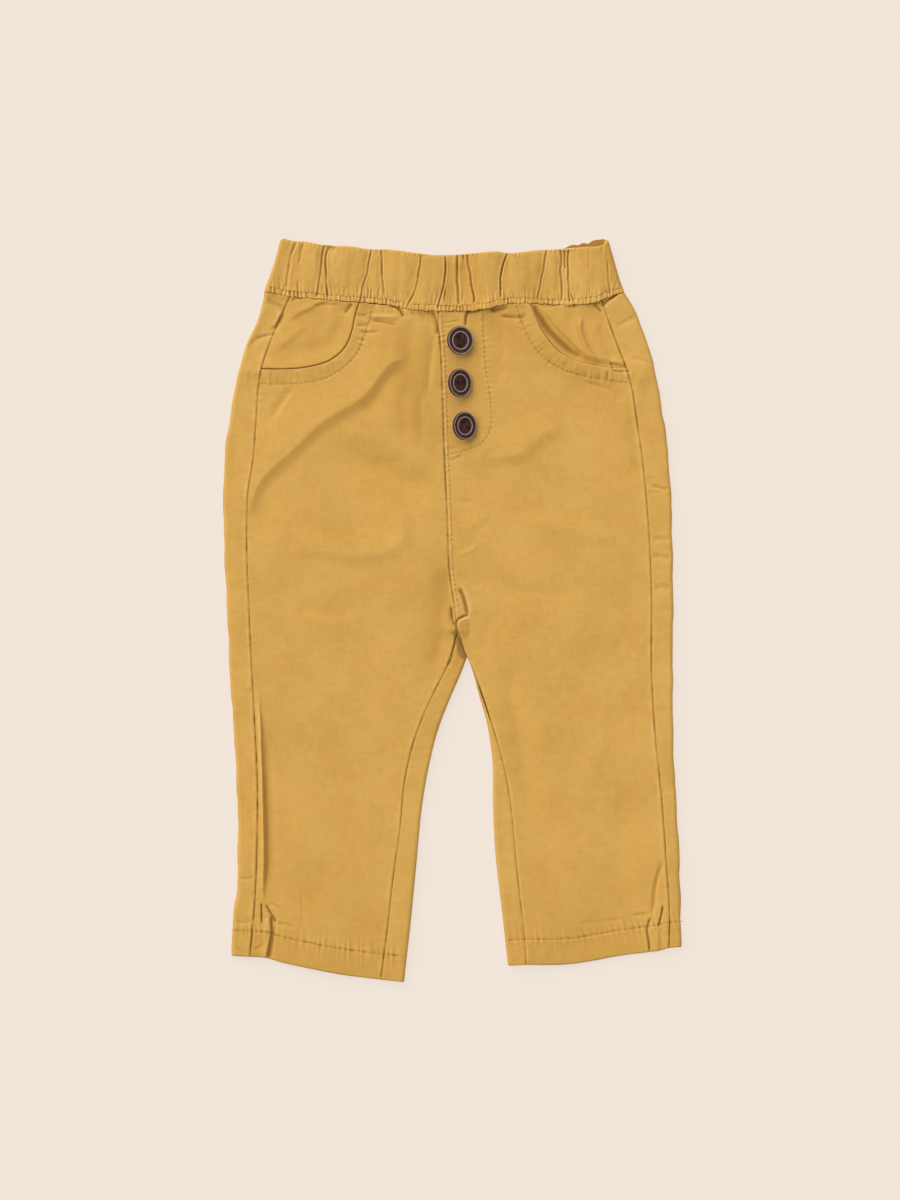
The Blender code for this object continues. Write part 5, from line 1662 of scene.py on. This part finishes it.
def waistband():
    """The whole band, as a closed tube that has been pressed flat."""
    bend = BAND_TOP / 2
    v = graded(BAND_HEIGHT, BAND_STEP)[:, None]
    (left_low, _), (left_high, _) = BAND_LEFT
    (right_low, _), (right_high, _) = BAND_RIGHT
    x0 = left_low + (left_high - left_low) * v + bend
    x1 = right_low + (right_high - right_low) * v - bend
    s, c = np.sin(BAND_TURNS), np.cos(BAND_TURNS)
    front, back = np.linspace(0, 1, FRONT_COUNT), np.linspace(0, 1, BACK_COUNT)
    x = np.concatenate([
        x0 + (x1 - x0) * front, x1 + bend * s, x1 + (x0 - x1) * back, x0 - bend * s[::-1],
    ], 1)
    one = np.ones_like(v)
    rows = (
        (BAND_TOP + 0 * front, bend + bend * c, 0 * back, bend + bend * c[::-1]),
        (0 * front, -s, 0 * back, s[::-1]),
        (0 * front - 1, -c, 0 * back + 1, -c[::-1]),
        (0 * front, BAND_TURNS / math.pi, 0 * back + 1, BAND_TURNS[::-1] / math.pi),
    )
    level, nx, nz, layer = (one * np.concatenate(row) for row in rows)
    low, high = band_seam(x) + BAND_GAP / 2 * (1 - layer) + BACK_GAP * layer, band_edge(x, layer)
    low = low - 0.5 * np.clip(BAND_RELIEF.at(x, low + 0.8) - 0.1, -0.8, 0) * (1 - layer)
    y = low * (1 - v) + high * v
    creases = np.cumsum(np.random.default_rng(41).uniform(0.5, 1.5, 60) * BACK_CREASE_MEAN) - 104
    to_crease = np.abs((x - 0.12 * (y - 185))[..., None] - creases).min(-1)
    hidden = -BACK_SUNK - BACK_CREASE * bell(to_crease, BACK_CREASE_WIDTH)
    rise = BAND_RELIEF.at(x, y) * smoothstep(1.6 * (1 - layer) - 0.3) + hidden * smoothstep(2 * layer - 1)
    rise = np.where(layer < 0.5, np.clip(rise, LOWEST, HIGHEST), rise)
    rise = rise - rolled(y - low, 0.35) - rolled(high - y, 1.5)
    outside = np.stack([x - nx * rise, y, level - nz * rise], -1)
    inside = np.stack([x + nx * BAND_CLOTH, y, level + nz * BAND_CLOTH], -1)
    developed = np.concatenate([[0], np.cumsum(np.hypot(np.diff(x[0]), np.diff(level[0])))])
    grain = np.stack([np.broadcast_to(developed * STRETCH, x.shape), y], -1)
    rub_and_shade = BAND_RELIEF.z - blurred(BAND_RELIEF.z, 1.2, 1.2)
    # Painted shade on the crowded stretches of the band.
    for (start, end), amount in BAND_SHADES:
        rub_and_shade -= amount * smoothstep((BAND_RELIEF.x - start) / 3) * smoothstep((end - BAND_RELIEF.x) / 3)
    band_wear_and_shade = HeightMap(*BAND_MAP)
    band_wear_and_shade.z = wear_and_shade_where(rub_and_shade, 1.6, 0.45)
    wear_and_shade = band_wear_and_shade.at(x, y) * (1 - layer) + BAND_BACK_SHADE * layer
    wear_and_shade = worn_edge(wear_and_shade, high - y, 0.7, 0.1)
    wear_and_shade = worn_edge(wear_and_shade, y - low - 0.5, 0.5, 0.1)
    closed = [np.concatenate([a, a[:, :1]], 1) for a in (outside, inside, grain, wear_and_shade)]
    piece = cloth_wall("waistband_cloth", *closed, tube=True)
    return dress(piece, TWILL_GATHERED, "twill", "waistband")


waistband()

# %% [markdown]
# ## The buttons
#
# Three shank buttons of imitation horn. Each is a turned form: a dished middle inside a raised
# ring, a sloping border and a thin raised ring at the rim. The rings are rubbed pale. A turned
# form is its profile carried round an axis, so the mesh is made by that rule, and each point keeps
# its radius, which the finish reads to know where the rings are.

# %% Buttons
BUTTON_RADIUS, BUTTON_DEPTH = 7.7, 3.0
SHANK_RADIUS, SHANK_LENGTH = 2.0, 3.0
BUTTON_SIDES = 72
Button = namedtuple("Button", "name across up tilt")
BUTTONS = (
    Button("button_top", 4.4, 144.6, 26),
    Button("button_middle", 4.4, 121.8, 38),
    Button("button_bottom", 6.9, 98.8, 36),
)
BUTTON_PROFILE = (
    (0.0, -0.95), (1.5, -0.97), (3.0, -1.0), (3.7, -0.98), (4.05, -0.85), (4.3, -0.55), (4.5, -0.32),
    (4.72, -0.24), (4.95, -0.33), (5.1, -0.5), (5.35, -0.53), (5.9, -0.45), (6.5, -0.33),
    (6.75, -0.28), (6.85, -0.16), (7.0, -0.05), (7.2, 0.0), (7.4, -0.06), (7.55, -0.22),
    (7.66, -0.5), (BUTTON_RADIUS, -0.9), (7.66, -1.25), (7.5, -1.7), (7.15, -2.25), (6.7, -2.7),
    (6.1, -BUTTON_DEPTH), (4.0, -BUTTON_DEPTH), (SHANK_RADIUS + 0.4, -BUTTON_DEPTH),
    (SHANK_RADIUS, -BUTTON_DEPTH - 0.4), (SHANK_RADIUS, -BUTTON_DEPTH - SHANK_LENGTH + 0.3),
    (SHANK_RADIUS - 0.3, -BUTTON_DEPTH - SHANK_LENGTH), (0.0, -BUTTON_DEPTH - SHANK_LENGTH),
)


HORN_DEEP, HORN_PALE = (0.036, 0.014, 0.011, 1), (0.070, 0.030, 0.022, 1)
CENTRE_DEEP, CENTRE_PALE = (0.014, 0.005, 0.004, 1), (0.085, 0.032, 0.020, 1)
HORN_RUBBED = (0.50, 0.36, 0.32, 1)
INNER_RING, OUTER_RING = 4.7, 7.15  # radii of the rubbed rings


def button_finish():
    """Brown horn: mottled, glossy, with two pale rings where the turning is rubbed."""
    recipe = Recipe("brown horn", Roughness=0.35, Specular_IOR_Level=0.22)
    place = recipe.node("ShaderNodeTexCoord", output=OBJECT_SPACE)
    radius = recipe.node("ShaderNodeAttribute", {"attribute_name": "turned_radius"}, output=2)
    mottle = recipe.noise(place, 0.0022, 4.0, 0.6)
    grit = recipe.noise(place, 0.0005, 3.0, 0.7)
    brown = recipe.mix(mottle.between(0.3, 0.7), HORN_DEEP, HORN_PALE)
    dish = recipe.mix(mottle.between(0.35, 0.65), CENTRE_DEEP, CENTRE_PALE)
    brown = recipe.mix((1 - radius.between(3.4, 4.2)) * 0.8, brown, dish)
    inner_ring = 1 - abs(radius - INNER_RING).between(0.16, 0.42)
    outer_ring = 1 - abs(radius - OUTER_RING).between(0.12, 0.38)
    rubbed = (inner_ring + outer_ring) * grit.between(0.28, 0.5)
    colour = recipe.mix(rubbed * 0.85, brown, HORN_RUBBED)
    bump = recipe.bump(0.35, FINE_BUMP, grit)
    return recipe.finish(Base_Color=colour, Roughness=0.40 + grit * 0.3, Normal=bump)


def turned(profile, sides):
    """(points, faces, radii) of a profile carried round the Z axis, from pole to pole."""
    turns = np.linspace(0, 2 * math.pi, sides, endpoint=False)
    points = [(0, 0, profile[0][1])]
    for radius, level in profile[1:-1]:
        points += [(radius * math.cos(a), radius * math.sin(a), level) for a in turns]
    points.append((0, 0, profile[-1][1]))
    faces = []
    for k in range(sides):
        after = (k + 1) % sides
        faces.append((0, 1 + k, 1 + after))
        for ring in range(len(profile) - 3):
            low, high = 1 + ring * sides, 1 + (ring + 1) * sides
            faces.append((low + k, high + k, high + after, low + after))
        last = 1 + (len(profile) - 3) * sides
        faces.append((last + k, len(points) - 1, last + after))
    points = np.array(points)
    return points, faces, np.hypot(points[:, 0], points[:, 1])


HORN = button_finish()


def make_button(button):
    """A button, tilted on its shank, with its top as high as the frame's."""
    points, faces, radii = turned(BUTTON_PROFILE, BUTTON_SIDES)
    tilt = math.radians(button.tilt)
    lean = np.array([
        [math.cos(tilt), 0, math.sin(tilt)], [0, 1, 0], [-math.sin(tilt), 0, math.cos(tilt)],
    ])
    points = points @ lean.T
    points[:, :2] += (button.across, button.up)
    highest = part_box(button.name)[1].z / MM
    points[:, 2] += highest - points[:, 2].max()
    mesh = bpy.data.meshes.new(button.name + "_horn")
    mesh.from_pydata((points * MM).tolist(), [], faces)
    mesh.attributes.new("turned_radius", "FLOAT", "POINT").data.foreach_set("value", radii)
    mesh.shade_smooth()
    return dress(add_object(mesh.name, mesh), HORN, "button", button.name)


for button in BUTTONS:
    make_button(button)
print(len(BUTTONS), "buttons")

# %% [markdown]
# ## The stitches
#
# A row of stitches is one shape repeated along a line, which is what Geometry Nodes are for: the
# tree turns a curve into points one stitch apart, sets a short rounded thread on each, turned along
# the curve, and makes them real. The curves are drawn here on the finished surface.

# %% A tree that sews along a curve
STITCH_PITCH, STITCH_LENGTH, THREAD_WIDTH = 2.7, 2.0, 0.42
SLANT = (0.0, 0.06, 0.16)  # how far a stitch may turn away from its line, in radians


def sewing_tree():
    """The tree, and the identifiers of its inputs."""
    tree = bpy.data.node_groups.new("sew along a curve", "GeometryNodeTree")
    inputs = {}
    for name, kind in (
        ("Curves", "NodeSocketGeometry"), ("Pitch", "NodeSocketFloat"), ("Length", "NodeSocketFloat"),
        ("Width", "NodeSocketFloat"), ("Seed", "NodeSocketInt"), ("Thread", "NodeSocketMaterial"),
    ):
        socket = tree.interface.new_socket(name, in_out="INPUT", socket_type=kind)
        inputs[name] = socket.identifier
    tree.interface.new_socket("Stitches", in_out="OUTPUT", socket_type="NodeSocketGeometry")
    nodes, links = tree.nodes, tree.links
    given, result = nodes.new("NodeGroupInput").outputs, nodes.new("NodeGroupOutput").inputs

    def add(kind, settings, **values):
        """A node's outputs. A value for an input is a number or another node's output."""
        made = nodes.new(kind)
        for key, value in settings.items():
            setattr(made, key, value)
        for key, value in values.items():
            socket = made.inputs[key.replace("_", " ")]
            if isinstance(value, bpy.types.NodeSocket):
                links.new(value, socket)
            else:
                socket.default_value = value
        return made.outputs

    points = add(
        "GeometryNodeCurveToPoints", {"mode": "LENGTH"}, Curve=given["Curves"], Length=given["Pitch"],
    )
    thread = add("GeometryNodeMeshUVSphere", {}, Segments=6, Rings=5, Radius=0.5)
    size = add("ShaderNodeCombineXYZ", {}, X=given["Length"], Y=given["Width"], Z=given["Width"])
    shaped = add("GeometryNodeTransform", {}, Geometry=thread["Mesh"], Scale=size[0])
    turn = add("FunctionNodeAlignRotationToVector", {"axis": "X"}, Vector=points["Tangent"])
    slant = add(
        "FunctionNodeRandomValue", {"data_type": "FLOAT_VECTOR"},
        Min=tuple(-angle for angle in SLANT), Max=SLANT, Seed=given["Seed"],
    )
    tilt = add(
        "FunctionNodeRotateRotation", {"rotation_space": "LOCAL"},
        Rotation=turn[0], Rotate_By=slant["Value"],
    )
    placed = add(
        "GeometryNodeInstanceOnPoints", {},
        Points=points["Points"], Instance=shaped["Geometry"], Rotation=tilt[0],
    )
    real = add("GeometryNodeRealizeInstances", {}, Geometry=placed["Instances"])
    dyed = add("GeometryNodeSetMaterial", {}, Geometry=real["Geometry"], Material=given["Thread"])
    links.new(dyed["Geometry"], result["Stitches"])
    return tree, inputs


SEWING, SEWING_INPUTS = sewing_tree()


def sew(name, paths, seed):
    """A piece of stitches along paths of (across, up, level) points, in millimetres."""
    curve = bpy.data.curves.new(name + "_lines", "CURVE")
    curve.dimensions = "3D"
    for path in paths:
        spline = curve.splines.new("POLY")
        spline.points.add(len(path) - 1)
        spline.points.foreach_set("co", np.column_stack([path * MM, np.ones(len(path))]).ravel())
    lines = add_object(curve.name, curve)
    modifier = lines.modifiers.new("sewing", "NODES")
    modifier.node_group = SEWING
    for key, value in (
        ("Pitch", STITCH_PITCH * MM), ("Length", STITCH_LENGTH * MM), ("Width", THREAD_WIDTH * MM),
        ("Seed", seed), ("Thread", THREAD_FINISH),
    ):
        modifier[SEWING_INPUTS[key]] = value
    depsgraph = bpy.context.evaluated_depsgraph_get()
    mesh = bpy.data.meshes.new_from_object(lines.evaluated_get(depsgraph))
    bpy.data.objects.remove(lines)
    mesh.name = name
    mesh.shade_smooth()
    piece = add_object(name, mesh)
    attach(piece, "root")
    print(f"{name}: {len(mesh.polygons)} faces")
    return piece


# %% The rows of stitches
SINK = 0.02  # the thread's middle lies this far from the floor of its furrow
BAND_STITCH_SPAN = (-97, 89)


def on_cloth(path):
    """A path laid on the panels."""
    run = smooth_run(path, 0.6)
    return np.column_stack([run, TOP + surface.at(run[:, 0], run[:, 1]) + SINK])


def band_stitch():
    """The row of stitches along the foot of the band."""
    x = np.linspace(*BAND_STITCH_SPAN, 320)
    y = band_seam(x) + BAND_STITCH
    return np.column_stack([x, y, BAND_TOP + BAND_RELIEF.at(x, y) - SINK])


sew("centre_stitches", [on_cloth(centre_stitch())], 1)
sew("fly_stitches", [on_cloth(FLY_STITCH)], 2)
sew("pocket_stitches", [on_cloth(path) for path in POCKET_STITCH.values()], 3)
sew("hem_stitches", [on_cloth(hem_stitch(side)) for side in LEGS], 4)
sew("band_stitches", [band_stitch()], 5)

# %% [markdown]
# ## The size of the cloth
#
# The size that each sheet was cut to is printed. The widths are measured round the flattened
# tubes, and the areas are the pieces' own plan areas, worked out from their outlines.

# %% Sheets


def plan_area(*lines):
    """Area inside an outline, from the points of its edges in order."""
    x, y = np.concatenate(lines).T
    return abs((x * np.roll(y, -1) - y * np.roll(x, -1)).sum()) / 2 * MM * MM


def declare(name, cut, plan):
    """State the size that a piece was cut to: its plan area, or less if the cut is less."""
    width, length = cut
    area = min(plan, width * length * MM * MM)
    print(f"{name}: cut {width} x {length} mm, {area * 1e6:.0f} mm2")


# Widths and lengths of the cut, in millimetres
FRONT_CUT, BACK_CUT, YOKE_CUT, BAND_CUT = (106, 368), (160, 372), (60, 46), (480, 31)

for side, leg in LEGS.items():
    edges = EDGES[side]
    mouth, seam = edges["mouth"], edges["side_seam"].points
    below = seam[seam[:, 1] < leg.mouth[-1][1]]
    above = seam[seam[:, 1] >= leg.mouth[-1][1]]
    inner = np.concatenate([CENTRE.points, edges["inseam"].points])
    front = plan_area(mouth.points, below, inner[::-1])
    strips = plan_area(edges["side_fold"].points, seam[::-1])
    strips += plan_area(edges["inner_fold"].points, edges["inseam"].points[::-1])
    hip = plan_area(mouth.points, above[::-1])
    yoke = hip + YOKE_UNDERLAP * mouth.length * MM * MM
    declare(f"front_{side}_cloth", FRONT_CUT, front)
    declare(f"back_{side}_cloth", BACK_CUT, front + hip + 2 * strips)
    declare(f"pocket_yoke_{side}_cloth", YOKE_CUT, yoke)
declare("waistband_cloth", BAND_CUT, math.inf)

# %% [markdown]
# ## Table, light and camera
#
# The trousers lie on a pale light table under soft studio light: an even dome, and a broad lamp
# from the top left that models the folds. Because the table glows, it takes hardly any shadow. The
# camera hangs straight above with a long lens, so the edges stay as straight as in the photograph.

# %% A pale table that glows, as a light table does
TABLE = (0.880, 0.784, 0.694)
GLOW = 0.84  # share of the table's light that comes from within it
TABLE_HALF, TABLE_LEVEL = 3.0, -0.0003  # in metres: half its width, and its level under the cloth


def table():
    """The table that the trousers lie on, which is stage and no part of them."""
    recipe = Recipe(
        "pale glass", Roughness=0.95, Specular_IOR_Level=0.0, Emission_Strength=1.0,
        Emission_Color=(*(GLOW * c for c in TABLE), 1),
        Base_Color=(*((1 - GLOW) * c for c in TABLE), 1),
    )
    place = recipe.node("ShaderNodeTexCoord", output=OBJECT_SPACE)
    grain = recipe.noise(place, 0.0015, 3.0)
    material = recipe.finish(Normal=recipe.bump(0.05, FINE_BUMP, grain))
    mesh = bpy.data.meshes.new("table")
    corners = ((-1, -1), (1, -1), (1, 1), (-1, 1))
    corners = [(TABLE_HALF * x, TABLE_HALF * y, TABLE_LEVEL) for x, y in corners]
    mesh.from_pydata(corners, [], [(0, 1, 2, 3)])
    mesh.materials.append(material)
    add_object("table", mesh)


table()

# %% Light
AMBIENT = 0.42
LAMP_FROM = Vector((-0.66, 0.86, 1.0))
LAMP_SPREAD = 74.0  # degrees
LAMP_SHARE = 0.62  # of the light that falls on the table


def light_the_scene():
    """An even dome and one broad lamp."""
    world = bpy.data.worlds.new("even dome")
    world.use_nodes = True
    sky = world.node_tree.nodes["Background"]
    sky.inputs["Color"].default_value = (1.0, 1.0, 1.0, 1)
    sky.inputs["Strength"].default_value = AMBIENT
    bpy.context.scene.world = world
    lamp = bpy.data.lights.new("broad lamp", "SUN")
    lamp.angle = math.radians(LAMP_SPREAD)
    towards = LAMP_FROM.normalized()
    lamp.energy = LAMP_SHARE * math.pi / towards.z
    lamp_object = add_object("broad_lamp", lamp)
    lamp_object.rotation_euler = towards.to_track_quat("Z", "Y").to_euler()
    bpy.context.scene.view_settings.view_transform = "Standard"


light_the_scene()

# %% Camera
PHOTO_HEIGHT = 1200  # pixels
MM_PER_PIXEL = 0.5376
VIEW_CENTRE = (-1.5, 5.4)
CAMERA_HEIGHT = 2500.0


def camera():
    """A long lens straight above, whose view is as wide as the photograph's."""
    lens = bpy.data.cameras.new("overhead")
    lens.sensor_fit = "VERTICAL"
    lens.sensor_height = 36.0
    lens.lens = lens.sensor_height * CAMERA_HEIGHT / (PHOTO_HEIGHT * MM_PER_PIXEL)
    overhead = add_object("overhead", lens)
    overhead.location = (VIEW_CENTRE[0] * MM, VIEW_CENTRE[1] * MM, (TOP + CAMERA_HEIGHT) * MM)
    bpy.context.scene.camera = overhead
    print("lens", round(lens.lens, 1), "mm")


camera()
